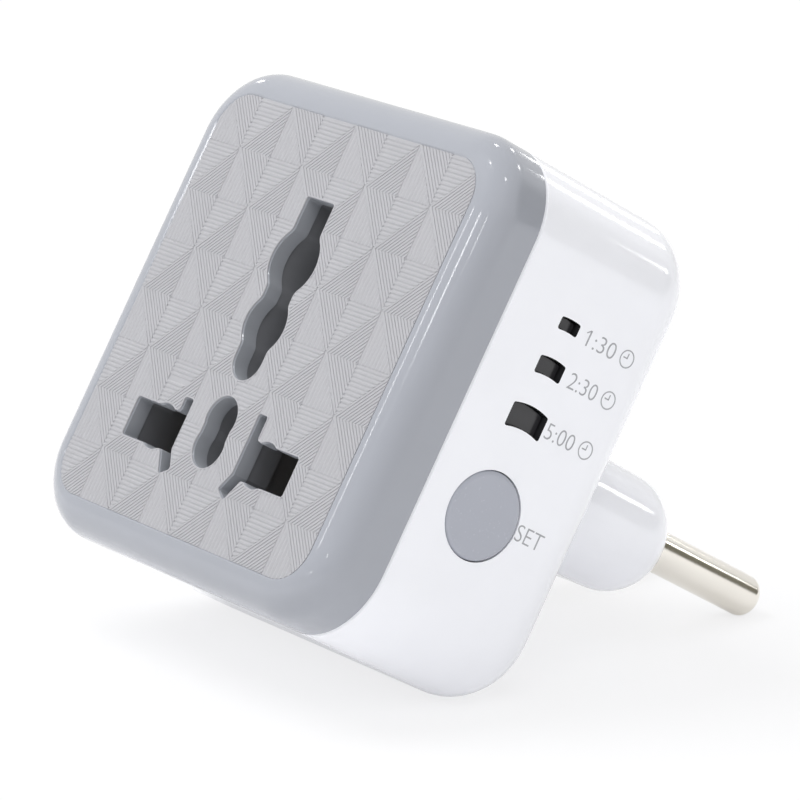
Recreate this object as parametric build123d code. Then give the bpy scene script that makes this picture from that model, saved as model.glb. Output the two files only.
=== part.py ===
"""Plug-in surge protector with a charging timer, built as the pieces that come apart on a bench.

The frame: x to the right seen from the front, y towards the wall outlet, z up. The origin is the centre of
the plug boss's end face, midway between the two pins.
"""
import os
from math import hypot, radians, tan

from build123d import *

# Driving dimensions of the housing, in millimetres
BODY_W = 53.9  # overall width
BODY_H = 55.2  # overall height
BODY_DEPTH = 31.6  # front face to rear face
BODY_RISE = 2.43  # body centre above the pins' axis
CORNER_R = 8.95  # corner of the outline, seen from the front
COVER_DEPTH = 7.1  # front face to the parting line
FRONT_EDGE_R = 3.8  # rounding between the front face and the sides
REAR_EDGE_R = 6.2  # rounding between the rear face and the sides
WALL = 2.0  # side walls of both halves
FACE_T = 2.2  # front face of the cover
REAR_T = 2.0  # rear wall of the housing
TONGUE = 2.2  # lip of the cover inside the housing's rim
PARTING_BEVEL = 0.2  # bevel on both halves along the parting line
FIT = 0.15  # clearance between pieces that are put together by hand

# Textured field in the front face
FIELD_BORDER = 3.85  # rim around the field
FIELD_CORNER_R = 4.3
FIELD_DEPTH = 0.2  # field below the rim
FIELD_SLOPE = 45.0  # degrees that the step from the field up to the rim leans out
SLOT_BEVEL = 0.15  # softened edges of the slots in the field

# Plug boss and pins
BOSS_W = 35.4  # at its end, before rounding
BOSS_H = 13.3  # at its end, before rounding
BOSS_DROP = 0.5  # boss's centre below the pins' axis
BOSS_LEN = 20.25
BOSS_DRAFT = 1.0  # degrees that its sides lean out towards the rear face
BOSS_WALL = 1.8
BOSS_END_T = 7.0  # end wall that the pins stand in
BOSS_END_R = 5.7  # rounding of the end
BOSS_ROOT_R = 1.2  # fillet where the boss meets the rear face
PIN_D = 4.8
PIN_PITCH = 19.0
PIN_OUT = 19.0  # free length of a pin
PIN_TIP_R = 1.3
PIN_FIT = 0.05  # radial clearance of a pin in its bore
PIN_STEP = 0.1  # full thickness of a pin starts this far outside the boss's face
PIN_SHOULDER = 0.2  # step from a pin's root, in the end wall, to its full thickness
PIN_MOUTH = 0.5  # depth of the wide mouth of a pin's bore, which clears the full thickness
PIN_SHANK_D = PIN_D - 2 * PIN_SHOULDER
PIN_FLANGE_D = 7.2
PIN_FLANGE_T = 1.5
PIN_TAIL_D = 3.2
PIN_TAIL_LEN = 7.5
RETAINER_T = 4.0
RETAINER_SCREW_X = 2.4

# Socket slots, measured from the centre of the socket's pin line. They are in slot units: the room that the
# timer board and the top row of parts leave sets SLOT_UNIT, which is a millimetre at this size of body
SOCKET_SHARE = 0.2442  # pin line below the body's centre, in the body's height
FLAT_HALF_H = 2.2
FLAT_OUT = 15.0  # outer end of a side slot
ROUND_X = 9.5
ROUND_R = 2.57
BLADE_X = 6.5
BLADE_W = 1.5
BLADE_TOP_LEFT = 3.9
BLADE_TOP_RIGHT = 5.0  # the wider blade of a polarised plug goes in here
SLANT_X = 7.0
SLANT_Z = -1.4
SLANT_W = 1.75
SLANT_LEN = 6.6
SLANT_ANGLE = 30.0
SLOT_CORNER_R = 0.3
BLADE_ROOT_R = 0.55
EARTH_HALF_W = 2.4
EARTH_TOP = 28.4
EARTH_UPPER_Z = 21.4
EARTH_UPPER_R = 3.9
EARTH_LOWER_Z = 14.1
EARTH_LOWER_R = 3.45
EARTH_END_Z = 10.05  # centre of the round lower end
WAIST_R = 1.3  # fillet between the bulges and the straight sides
CENTRE_R = 2.5
CENTRE_UPPER_Z = 3.1
CENTRE_HALF_W = 2.3
CAVITY_IN = 4.6  # inner side of a contact cavity

# Contact carrier and contacts
CHANNEL_FIT = 0.25  # channels of the carrier around the cover's slots, in slot units
CARRIER_STAND = 3.7  # carrier to the power board
CARRIER_FRONT_T = 3.0
CARRIER_WALL = 1.2
CARRIER_TOP_T = 0.84  # wall over the earth channel
CARRIER_SIDE_GAP = 0.45  # carrier to the timer board
CARRIER_TOP_GAP = 0.58  # carrier to the top row of parts
CAVITY_HALF_H = 4.4
LEG_W = 5.0
CONTACT_T = 0.6
CONTACT_HALF_H = 3.7
CONTACT_PINCH = 2.6  # centre line of a leaf at its narrowest
CONTACT_FLARE = 0.8
CONTACT_GAP = 0.4  # contact to the sides of its cavity
CONTACT_TAB_W = 3.0

# Screws
TUBE_IN_X = 7.0  # centre of a screw tube to the side
TUBE_IN_Z = 7.25  # centre of a screw tube to the top or bottom
TUBE_R = 3.1
TUBE_FLOOR = 3.0  # plastic under a screw head
PILLAR_PAST = 1.0  # cover pillars past the parting line
SCREW_R = 1.25
SCREW_BITE = 7.0
SCREW_HEAD_R = 2.3
SCREW_HEAD_T = 1.8
SMALL_SCREW_R = 1.0
SMALL_SCREW_BITE = 4.0
SMALL_HEAD_R = 1.9
SMALL_HEAD_T = 1.3
SCREW_FIT = 0.1  # around every screw
HEAD_FIT = 0.3  # around a sunk screw head

# Boards
BOARD_T = 1.6
REAR_ROOM = 4.8  # power board to the rear wall
BOARD_GAP = 0.6  # power board to the walls and screw tubes
POST_R = 2.2
POST_MARGIN = 3.6  # screwed post centre to the board's top or bottom edge
REST_MARGIN = 0.5  # posts to the board's other edges
LEAD_R = 0.35
LEAD_FIT = 0.1
LEAD_PAST = 0.8  # leads past the back of the board
WIRE_R = 1.0
WIRE_PAD_X = 12.5
WIRE_PAD_Z = 2.0
TIMER_BOARD_T = 1.2
TIMER_BOARD_FRONT = 6.6  # front face of the cover to the timer board
TIMER_TAB = 5.0

# Parts on the power board
PART_GAP = 0.75  # a part to its neighbour
RELAY_DEPTH = 15.0
RELAY_EDGE_R = 0.6
RELAY_SIDE_GAP = 2.0  # relay to the wall
RELAY_LEAD_IN = 1.75  # its leads to its sides
RELAY_COIL_IN = 2.5  # its coil and common leads to its ends
RELAY_CONTACT_IN = 4.5  # its contact leads to its top end
UPPER_LOW_GAP = 2.1  # relay to the carrier's bar below it
UPPER_HIGH_GAP = 2.45  # relay to the top row above it
UPPER_TUBE_GAP = 3.0  # relay to the screw tube above it
DROPPER_DEPTH = 14.0
DROPPER_EDGE_R = 0.9
DROPPER_SIDE_GAP = 1.1  # dropper capacitor to the timer board
DROPPER_SHORT = 1.0  # dropper capacitor shorter than the relay
DROPPER_LEAD_IN = 1.5
TOP_ROW_EDGE = 0.5  # cans to the board's top edge
TOP_ROW_GAP = 0.95  # bridge rectifier to a screw head
FUSE_EDGE = 3.15  # fuse to the board's waist edge
CAN_SHARE = 0.1773  # a can's radius in the room of the top row
CAN_LEN = 11.5
CAN_LEADS = 0.9  # lead pitch of a can, in radii
CAN_GROOVE = 0.4
FUSE_LEN = 7.8
FUSE_LEADS = 1.28  # lead pitch of the fuse, in radii
BRIDGE_DEPTH = 3.2
BRIDGE_OVER = 0.4  # bridge rectifier taller than a can is wide
BRIDGE_EDGE_R = 0.3
BRIDGE_LEADS_X = 0.69  # lead pitch across the bridge, in its width
BRIDGE_LEADS_Z = 0.62  # lead pitch along the bridge, in its height
VARISTOR_T = 3.8
VARISTOR_STAND = 1.2
VARISTOR_LEADS = 1.14  # lead pitch of the varistor, in radii
VARISTOR_SKEW = 0.8  # its leads apart across the disc
VARISTOR_HIGH_GAP = 1.6  # varistor to the relay's height
VARISTOR_LOW_GAP = 2.2  # varistor to the screw tube's height
BOTTOM_ROW_MARGIN = 3.0
BLEEDER_SHARE = 0.43  # lead pitch of the bleeder resistor in the room of the bottom row
BLEEDER_R = 1.2
BLEEDER_BODY = 0.61  # its body in its lead pitch
ZENER_SHARE = 0.4  # lead pitch of the diode in the room of the bottom row
ZENER_R = 1.3
ZENER_BODY = 0.55  # its body in its lead pitch
AXIAL_STAND = 0.2
TRANSISTOR_LEN = 3.2
TRANSISTOR_STAND = 0.3
TRANSISTOR_LEADS = 0.62  # lead pitch of the transistor, in radii

# Button, switch and indicator on the right side
SIDE_SHARE = 0.464  # button's axis in the depth between the cover's lip and the power board
BUTTON_MARGIN = 2.25  # button's edge in half of that depth
BUTTON_FIT = 0.22
BUTTON_AT = -0.5119  # button's height in the height of the side, from the body's centre
BUTTON_PROUD = 0.15
BUTTON_EDGE_R = 0.5
BUTTON_LIP = 1.0  # flange around the button
BUTTON_FLANGE_T = 1.0
BUTTON_STEM_R = 2.0
BUTTON_STEM = 0.25
BUTTON_SEAT_GAP = 0.2  # flange to its collar at rest
COLLAR_LEN = 1.2
COLLAR_T = 0.8
FREE_PLAY = 0.25  # stem to plunger at rest
PLUNGER_R = 1.7
PLUNGER_OUT = 0.7
PLUNGER_IN = 0.8
PLUNGER_FIT = 0.15
PLUNGER_TRAVEL = 0.4
TACT_SHARE = 0.359  # width of the switch in the height of the side
TACT_H = 3.1
WINDOW_SIZES = ((2.8, 1.4), (3.75, 1.95), (5.1, 2.7))  # width and height, from the top down
WINDOW_AT = (0.7403, 0.4649, 0.1316)  # heights in the height of the side, from the body's centre
WINDOW_ARC_R = 8.4
WINDOW_CORNER_R = 0.25
LENS_RECESS = 0.9
LENS_T = 1.6
LENS_MARGIN = 0.7
LED = (0.9, 2.0, 1.2)
LED_GAP = 0.3
STUD_R = 0.7
CHIP_T = 1.6
CHIP_LEN = 5.0
CHIP_LEG = 0.7
CHIP_LOW_GAP = 0.4  # chip's legs to the switch
CHIP_SHARE = 0.078  # gap from the chip's legs to the lowest light, in the height of the side
SMALL_RESISTOR = (0.5, 2.0, 1.2)

# Places of the housing and the boards
REAR_Y = -BOSS_LEN
FRONT_Y = REAR_Y - BODY_DEPTH
PART_Y = FRONT_Y + COVER_DEPTH
COVER_IN_Y = FRONT_Y + FACE_T
FIELD_Y = FRONT_Y + FIELD_DEPTH
REAR_IN_Y = REAR_Y - REAR_T
SIDE_X = BODY_W / 2
SIDE_IN_X = SIDE_X - WALL
SOCKET_Z = BODY_RISE - SOCKET_SHARE * BODY_H
TUBE_X = SIDE_X - TUBE_IN_X
TUBE_Z = BODY_H / 2 - TUBE_IN_Z
TUBE_PLACES = [(x, BODY_RISE + z) for x in (-TUBE_X, TUBE_X) for z in (-TUBE_Z, TUBE_Z)]
TUBE_FRONT_Y = PART_Y + PILLAR_PAST
SCREW_SEAT_Y = TUBE_FRONT_Y + TUBE_FLOOR
BOARD_REAR_Y = REAR_IN_Y - REAR_ROOM
BOARD_Y = BOARD_REAR_Y - BOARD_T
BOARD_HALF_W = SIDE_IN_X - BOARD_GAP
BOARD_HALF_H = BODY_H / 2 - WALL - BOARD_GAP
BOARD_TOP_Z = BODY_RISE + BOARD_HALF_H
BOARD_BOTTOM_Z = BODY_RISE - BOARD_HALF_H
WAIST_HALF_W = TUBE_X - TUBE_R - BOARD_GAP
WAIST_HALF_H = TUBE_Z - TUBE_R - BOARD_GAP
POST_X = WAIST_HALF_W - REST_MARGIN - POST_R
POST_TOP_Z = BOARD_TOP_Z - POST_MARGIN
POST_BOTTOM_Z = BOARD_BOTTOM_Z + POST_MARGIN
REST_X = BOARD_HALF_W - REST_MARGIN - POST_R
REST_Z = WAIST_HALF_H - REST_MARGIN - POST_R
BOARD_SCREW_PLACES = [(-POST_X, POST_BOTTOM_Z), (POST_X, POST_TOP_Z)]
REST_PLACES = [(-REST_X, BODY_RISE + REST_Z), (REST_X, BODY_RISE - REST_Z)]

# Places on the right side, from the wall inwards
SIDE_FRONT_Y = PART_Y + TONGUE
SIDE_DEPTH = BOARD_Y - SIDE_FRONT_Y
SIDE_AXIS_Y = SIDE_FRONT_Y + SIDE_SHARE * SIDE_DEPTH
SIDE_RISE = TUBE_Z - TUBE_R
BUTTON_R = SIDE_DEPTH / 2 - BUTTON_MARGIN
BUTTON_FLANGE_R = BUTTON_R + BUTTON_LIP
BUTTON_AXIS_Z = BODY_RISE + BUTTON_AT * SIDE_RISE
TACT_W = TACT_SHARE * SIDE_RISE
WINDOW_ZS = [BODY_RISE + at * SIDE_RISE for at in WINDOW_AT]
COLLAR_X = SIDE_IN_X - COLLAR_LEN
FLANGE_X = COLLAR_X - BUTTON_SEAT_GAP - BUTTON_FLANGE_T
STEM_X = FLANGE_X - BUTTON_STEM
TACT_X = STEM_X - FREE_PLAY - PLUNGER_OUT
TIMER_X = TACT_X - TACT_H
TIMER_IN_X = TIMER_X - TIMER_BOARD_T
TIMER_BOTTOM_Z = BUTTON_AXIS_Z - TACT_W
TIMER_TOP_Z = WINDOW_ZS[0] + LENS_MARGIN + LED[2] / 2
TIMER_TAB_ZS = (TIMER_BOTTOM_Z + TIMER_TAB, TIMER_TOP_Z - TIMER_TAB)
LENS_IN_X = SIDE_IN_X - LENS_T
CHIP_LOW_Z = BUTTON_AXIS_Z + TACT_W / 2 + CHIP_LOW_GAP + CHIP_LEG
CHIP_HIGH_Z = WINDOW_ZS[2] - LED[2] / 2 - CHIP_SHARE * SIDE_RISE - CHIP_LEG

# Places of the top row of parts, from the fuse on the left to the bridge rectifier
TOP_ROW_END_X = POST_X - SMALL_HEAD_R - TOP_ROW_GAP
TOP_ROW_START_X = FUSE_EDGE - WAIST_HALF_W
TOP_ROW_ROOM = TOP_ROW_END_X - TOP_ROW_START_X - 2 * PART_GAP
CAN_R = CAN_SHARE * TOP_ROW_ROOM
BRIDGE_W = TOP_ROW_ROOM - 4 * CAN_R
BRIDGE_H = 2 * CAN_R + BRIDGE_OVER
TOP_ROW_Z = BOARD_TOP_Z - TOP_ROW_EDGE - CAN_R
TOP_ROW_LOW_Z = TOP_ROW_Z - CAN_R
FUSE_X = TOP_ROW_START_X + CAN_R
CAN_X = FUSE_X + 2 * CAN_R + PART_GAP
BRIDGE_X = CAN_X + CAN_R + PART_GAP + BRIDGE_W / 2

# Places of the bottom row of parts, from the bleeder resistor on the left to the transistor
BOTTOM_ROW_Z = BOARD_BOTTOM_Z + BOTTOM_ROW_MARGIN
BOTTOM_ROW_START_X = SMALL_HEAD_R + BOARD_GAP + LEAD_R - POST_X
BOTTOM_ROW_STEP = PART_GAP + 2 * LEAD_R
BOTTOM_ROW_ROOM = WAIST_HALF_W - PART_GAP - BOTTOM_ROW_START_X - 2 * BOTTOM_ROW_STEP
BLEEDER_SPAN = BLEEDER_SHARE * BOTTOM_ROW_ROOM
ZENER_SPAN = ZENER_SHARE * BOTTOM_ROW_ROOM
TRANSISTOR_R = (BOTTOM_ROW_ROOM - BLEEDER_SPAN - ZENER_SPAN) / 2
BLEEDER_X = BOTTOM_ROW_START_X + BLEEDER_SPAN / 2
ZENER_X = BLEEDER_X + BLEEDER_SPAN / 2 + BOTTOM_ROW_STEP + ZENER_SPAN / 2
TRANSISTOR_X = ZENER_X + ZENER_SPAN / 2 + BOTTOM_ROW_STEP + TRANSISTOR_R

# Places of the socket, the carrier and the parts around it
SOCKET_SIDE_ROOM = TIMER_IN_X - CARRIER_SIDE_GAP - CARRIER_WALL
SOCKET_TOP_ROOM = TOP_ROW_LOW_Z - CARRIER_TOP_GAP - CARRIER_TOP_T - SOCKET_Z
SLOT_UNIT = min(SOCKET_SIDE_ROOM / (FLAT_OUT + CHANNEL_FIT), SOCKET_TOP_ROOM / (EARTH_TOP + CHANNEL_FIT))
CONTACT_X = SLOT_UNIT * ROUND_X
CAVITY_IN_X = SLOT_UNIT * CAVITY_IN
CAVITY_OUT_X = SLOT_UNIT * (FLAT_OUT + CHANNEL_FIT)
CARRIER_REAR_Y = BOARD_Y - CARRIER_STAND
BAR_HALF_W = CAVITY_OUT_X + CARRIER_WALL
BAR_TOP = SLOT_UNIT * (BLADE_TOP_RIGHT + CHANNEL_FIT) + CARRIER_WALL
BAR_BOTTOM = -CAVITY_HALF_H - CARRIER_WALL
STEM_HALF_W = SLOT_UNIT * (EARTH_UPPER_R + CHANNEL_FIT) + 2 * CARRIER_WALL
STEM_TOP = SLOT_UNIT * (EARTH_TOP + CHANNEL_FIT) + CARRIER_TOP_T
UPPER_LOW_Z = SOCKET_Z + BAR_TOP + UPPER_LOW_GAP
UPPER_HIGH_Z = min(TOP_ROW_LOW_Z - UPPER_HIGH_GAP, BODY_RISE + SIDE_RISE - UPPER_TUBE_GAP)
UPPER_PART_Z = (UPPER_LOW_Z + UPPER_HIGH_Z) / 2
RELAY_H = UPPER_HIGH_Z - UPPER_LOW_Z
RELAY_W = SIDE_IN_X - RELAY_SIDE_GAP - STEM_HALF_W - PART_GAP
RELAY_X = -(STEM_HALF_W + PART_GAP + RELAY_W / 2)
DROPPER_H = RELAY_H - DROPPER_SHORT
DROPPER_W = TIMER_IN_X - DROPPER_SIDE_GAP - STEM_HALF_W - PART_GAP
DROPPER_X = STEM_HALF_W + PART_GAP + DROPPER_W / 2
VARISTOR_HIGH_Z = UPPER_LOW_Z - VARISTOR_HIGH_GAP
VARISTOR_LOW_Z = BODY_RISE - SIDE_RISE + VARISTOR_LOW_GAP
VARISTOR_R = (VARISTOR_HIGH_Z - VARISTOR_LOW_Z) / 2
VARISTOR_X = -(BAR_HALF_W + SIDE_IN_X) / 2
VARISTOR_Z = (VARISTOR_HIGH_Z + VARISTOR_LOW_Z) / 2


def pair(x, z, pitch_x, pitch_z):
    """The places of two leads, set apart along a line through the middle between them."""
    return [(x + side * pitch_x / 2, z + side * pitch_z / 2) for side in (-1, 1)]


def relay_leads():
    """The relay's coil leads at the bottom, contact leads above them and common lead at the top."""
    reach_x = RELAY_W / 2 - RELAY_LEAD_IN
    reach_z = RELAY_H / 2 - RELAY_COIL_IN
    corners = [(side * reach_x, z) for side in (-1, 1) for z in (-reach_z, RELAY_H / 2 - RELAY_CONTACT_IN)]
    return [(RELAY_X + x, UPPER_PART_Z + z) for x, z in corners + [(0, reach_z)]]


# Where each part's leads go through the power board, as x and z
LEADS = {
    "relay": relay_leads(),
    "dropper_capacitor": pair(DROPPER_X, UPPER_PART_Z, 0, DROPPER_H - 2 * DROPPER_LEAD_IN),
    "smoothing_capacitor": pair(CAN_X, TOP_ROW_Z, CAN_LEADS * CAN_R, 0),
    "fuse": pair(FUSE_X, TOP_ROW_Z, FUSE_LEADS * CAN_R, 0),
    "varistor": pair(VARISTOR_X, VARISTOR_Z, VARISTOR_SKEW, VARISTOR_LEADS * VARISTOR_R),
    "bridge_rectifier": pair(BRIDGE_X, TOP_ROW_Z, BRIDGE_LEADS_X * BRIDGE_W, BRIDGE_LEADS_Z * BRIDGE_H)
    + pair(BRIDGE_X, TOP_ROW_Z, BRIDGE_LEADS_X * BRIDGE_W, -BRIDGE_LEADS_Z * BRIDGE_H),
    "zener_diode": pair(ZENER_X, BOTTOM_ROW_Z, ZENER_SPAN, 0),
    "bleeder_resistor": pair(BLEEDER_X, BOTTOM_ROW_Z, BLEEDER_SPAN, 0),
    "relay_transistor": pair(TRANSISTOR_X, BOTTOM_ROW_Z, 2 * TRANSISTOR_LEADS * TRANSISTOR_R, 0)
    + [(TRANSISTOR_X, BOTTOM_ROW_Z)],
}


def prism(profile, y0, y1):
    """Extrude a profile drawn in x and z from depth y0 to depth y1."""
    return extrude(Plane.XZ.offset(-y1) * profile, amount=y1 - y0)


def side_prism(profile, x0, x1):
    """Extrude a profile drawn in y and z from x0 out to x1."""
    plane = Plane(origin=(x0, 0, 0), x_dir=(0, 1, 0), z_dir=(1, 0, 0))
    return extrude(plane * profile, amount=x1 - x0)


def post(x, z, radius, y0, y1):
    """A round bar along y."""
    return prism(Pos(x, z) * Circle(radius), y0, y1)


def side_post(y, z, radius, x0, x1):
    """A round bar along x."""
    return side_prism(Pos(y, z) * Circle(radius), x0, x1)


def block(x0, x1, y0, y1, z0, z1):
    """A box between two corners."""
    centre = Pos((x0 + x1) / 2, (y0 + y1) / 2, (z0 + z1) / 2)
    return centre * Box(x1 - x0, y1 - y0, z1 - z0)


def outline(grow=0.0):
    """The body's rounded outline, seen from the front."""
    shape = RectangleRounded(BODY_W + 2 * grow, BODY_H + 2 * grow, CORNER_R + grow)
    return Pos(0, BODY_RISE) * shape


def front_edges(solid):
    """Edges of the face that lies furthest forward."""
    return solid.faces().sort_by(Axis.Y)[0].edges()


def rear_edges(solid):
    """Edges of the face that lies furthest back."""
    return solid.faces().sort_by(Axis.Y)[-1].edges()


# Socket slot profiles, drawn about the socket's centre

def side_slot(side, blade_top):
    """A live or neutral slot for flat, round, upright-blade and slanted-blade plugs."""
    blade_in = BLADE_X - BLADE_W / 2
    flat_w = FLAT_OUT - blade_in
    shape = Pos(side * (blade_in + flat_w / 2), 0) * Rectangle(flat_w, 2 * FLAT_HALF_H)
    shape += Pos(side * ROUND_X, 0) * Circle(ROUND_R)
    shape += Pos(side * BLADE_X, blade_top / 2) * Rectangle(BLADE_W, blade_top)
    shape += Pos(side * SLANT_X, SLANT_Z) * Rot(0, 0, -side * SLANT_ANGLE) * Rectangle(SLANT_W, SLANT_LEN)
    blade_root = Vector(side * (BLADE_X + BLADE_W / 2), FLAT_HALF_H)
    corners = shape.vertices().sort_by_distance(blade_root)
    shape = fillet(corners[0], BLADE_ROOT_R)
    corners = shape.vertices().sort_by_distance(blade_root)
    return fillet(corners[2:], SLOT_CORNER_R)


def earth_slot():
    """The long slot for earth pins: a straight slot with two round bulges and a round lower end."""
    strip_h = EARTH_TOP - EARTH_END_Z
    shape = Pos(0, EARTH_END_Z + strip_h / 2) * Rectangle(2 * EARTH_HALF_W, strip_h)
    shape += Pos(0, EARTH_UPPER_Z) * Circle(EARTH_UPPER_R)
    shape += Pos(0, EARTH_LOWER_Z) * Circle(EARTH_LOWER_R)
    waists = [v for v in shape.vertices() if EARTH_END_Z < v.Y < EARTH_TOP - SLOT_CORNER_R]
    waists = [v for v in waists if v.Y > EARTH_END_Z + SLOT_CORNER_R]
    shape = fillet(waists, WAIST_R)
    shape = fillet([v for v in shape.vertices() if v.Y > EARTH_TOP - SLOT_CORNER_R], SLOT_CORNER_R)
    return shape + Pos(0, EARTH_END_Z) * Circle(EARTH_HALF_W)


def centre_slot():
    """The short slot between the side slots: two round holes run together."""
    shape = Pos(0, CENTRE_UPPER_Z / 2) * Rectangle(2 * CENTRE_HALF_W, CENTRE_UPPER_Z)
    shape += Circle(CENTRE_R)
    return shape + Pos(0, CENTRE_UPPER_Z) * Circle(CENTRE_R)


def socket_slots():
    """All four slots of the socket."""
    return [side_slot(-1, BLADE_TOP_LEFT), side_slot(1, BLADE_TOP_RIGHT), earth_slot(), centre_slot()]


def slot_cutters(y0, y1, grow=0.0):
    """Solids that cut the socket's slots from depth y0 to depth y1."""
    cutters = []
    for slot in socket_slots():
        profile = offset(slot, grow) if grow else slot
        cutters.append(prism(Pos(0, SOCKET_Z) * scale(profile, SLOT_UNIT), y0, y1))
    return cutters


# Housing

def on_slot_rim(edge):
    """True for an edge along which a slot opens in the field."""
    place = edge.center()
    beside = abs(place.X) < BAR_HALF_W
    above = SOCKET_Z + BAR_BOTTOM < place.Z < SOCKET_Z + STEM_TOP
    return beside and above and abs(place.Y - FIELD_Y) < SLOT_BEVEL / 2


def front_cover():
    """Grey cover: rim, face with the slots and a sunk field, lip and four screw pillars."""
    cover = prism(outline(), FRONT_Y, PART_Y)
    cover = fillet(front_edges(cover), FRONT_EDGE_R)
    cover = chamfer(rear_edges(cover), PARTING_BEVEL)
    cover -= prism(outline(-WALL), COVER_IN_Y, PART_Y + TONGUE)
    lip = prism(outline(-WALL / 2 - FIT) - outline(-WALL), COVER_IN_Y, PART_Y + TONGUE - FIT)
    cover += lip
    for x, z in TUBE_PLACES:
        cover += post(x, z, TUBE_R, COVER_IN_Y - FACE_T / 2, TUBE_FRONT_Y)
    field = RectangleRounded(BODY_W - 2 * FIELD_BORDER, BODY_H - 2 * FIELD_BORDER, FIELD_CORNER_R)
    field_plane = Plane.XZ.offset(-FIELD_Y)
    cover -= extrude(field_plane * Pos(0, BODY_RISE) * field, amount=2 * FIELD_DEPTH, taper=-FIELD_SLOPE)
    cover -= slot_cutters(FRONT_Y - FACE_T, COVER_IN_Y + FACE_T)
    cover = chamfer([e for e in cover.edges() if on_slot_rim(e)], SLOT_BEVEL)
    for x, z in TUBE_PLACES:
        cover -= post(x, z, SCREW_R + SCREW_FIT, TUBE_FRONT_Y - SCREW_BITE - SCREW_FIT, TUBE_FRONT_Y)
    return cover


def boss_outline(shrink=0.0):
    """The plug boss's outline: straight top and bottom, round ends."""
    return Pos(0, -BOSS_DROP) * SlotOverall(BOSS_W - 2 * shrink, BOSS_H - 2 * shrink)


def on_boss_root(edge):
    """True for an edge along which the boss meets the rear wall."""
    place = edge.center()
    lean = BOSS_LEN * tan(radians(BOSS_DRAFT)) + FIT
    near_boss = abs(place.X) < BOSS_W / 2 + lean and abs(place.Z + BOSS_DROP) < BOSS_H / 2 + lean
    return near_boss and abs(place.Y - REAR_Y) < FIT


def window_profile(width, height, shrink=0.0):
    """A window with arched top and bottom edges and rounded corners."""
    half_w = width / 2 - shrink
    half_h = height / 2 - shrink
    sag = half_w ** 2 / (2 * WINDOW_ARC_R)
    top = ThreePointArc((-half_w, half_h - sag), (0, half_h), (half_w, half_h - sag))
    bottom = ThreePointArc((half_w, -half_h - sag), (0, -half_h), (-half_w, -half_h - sag))
    sides = [Line(top @ 1, bottom @ 0), Line(bottom @ 1, top @ 0)]
    shape = make_face([top, sides[0], bottom, sides[1]])
    return fillet(shape.vertices(), WINDOW_CORNER_R)


def window_places():
    """Each window's width, height and z, from the top down."""
    return [(width, height, z) for (width, height), z in zip(WINDOW_SIZES, WINDOW_ZS)]


def rear_housing():
    """White housing: box, plug boss, windows, button collar, screw tubes and board posts."""
    shell = prism(outline(), PART_Y, REAR_Y)
    shell = fillet(rear_edges(shell), REAR_EDGE_R)
    shell = chamfer(front_edges(shell), PARTING_BEVEL)
    boss = extrude(Plane.XZ * boss_outline(), amount=BOSS_LEN + REAR_T, taper=-BOSS_DRAFT)
    boss = fillet(rear_edges(boss), BOSS_END_R)
    shell += boss
    shell = fillet([e for e in shell.edges() if on_boss_root(e)], BOSS_ROOT_R)
    cavity = prism(outline(-WALL), PART_Y - WALL, REAR_IN_Y)
    cavity = fillet(rear_edges(cavity), REAR_EDGE_R - WALL)
    hollow = prism(boss_outline(BOSS_WALL), REAR_IN_Y - WALL, -BOSS_END_T)
    rebate = prism(outline(-WALL / 2), PART_Y - WALL, PART_Y + TONGUE)
    shell -= [cavity, hollow, rebate]
    for x, z in TUBE_PLACES:
        shell += post(x, z, TUBE_R, TUBE_FRONT_Y, REAR_Y - REAR_T / 2)
        shell -= post(x, z, SCREW_R + SCREW_FIT, TUBE_FRONT_Y, SCREW_SEAT_Y)
        shell -= post(x, z, SCREW_HEAD_R + HEAD_FIT, SCREW_SEAT_Y, REAR_Y)
    for x, z in BOARD_SCREW_PLACES + REST_PLACES:
        shell += post(x, z, POST_R, BOARD_REAR_Y, REAR_Y - REAR_T / 2)
    for x, z in BOARD_SCREW_PLACES:
        shell -= post(x, z, SMALL_SCREW_R + SCREW_FIT, BOARD_REAR_Y, BOARD_REAR_Y + SMALL_SCREW_BITE)
    collar_r = BUTTON_R + BUTTON_FIT + COLLAR_T
    shell += side_post(SIDE_AXIS_Y, BUTTON_AXIS_Z, collar_r, COLLAR_X, SIDE_IN_X + WALL / 2)
    shell -= side_post(SIDE_AXIS_Y, BUTTON_AXIS_Z, BUTTON_R + BUTTON_FIT, COLLAR_X, SIDE_X + WALL)
    for width, height, z in window_places():
        window = Pos(SIDE_AXIS_Y, z) * window_profile(width, height)
        shell -= side_prism(window, SIDE_IN_X - WALL, SIDE_X + WALL)
    for z in stud_zs():
        shell += side_post(SIDE_AXIS_Y, z, STUD_R, LENS_IN_X, SIDE_IN_X + WALL / 2)
    for side in (-1, 1):
        shell -= post(side * PIN_PITCH / 2, 0, PIN_SHANK_D / 2 + PIN_FIT, -BOSS_END_T, BOSS_END_T)
        shell -= post(side * PIN_PITCH / 2, 0, PIN_D / 2 + PIN_FIT, -PIN_MOUTH, BOSS_END_T)
        shell -= post(side * RETAINER_SCREW_X, 0, SMALL_SCREW_R + SCREW_FIT, -BOSS_END_T,
                      SMALL_SCREW_BITE - BOSS_END_T)
    return shell


def screw(x, z, seat_y, toward, shank_r, length, head_r, head_t):
    """A pan-head screw along y; toward is +1 or -1, the way its shank points from the seat."""
    shank_end = seat_y + toward * length
    head_end = seat_y - toward * head_t
    shank = post(x, z, shank_r, min(seat_y, shank_end), max(seat_y, shank_end))
    head = post(x, z, head_r, min(seat_y, head_end), max(seat_y, head_end))
    top = head.faces().sort_by(Axis.Y)[-1 if toward < 0 else 0]
    head = fillet(top.edges(), head_t / 3)
    recess_y = sorted((head_end, head_end + toward * head_t / 2))
    for length_x, length_z in ((head_r, head_r / 4), (head_r / 4, head_r)):
        head -= prism(Pos(x, z) * Rectangle(length_x, length_z), *recess_y)
    return head + shank


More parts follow.
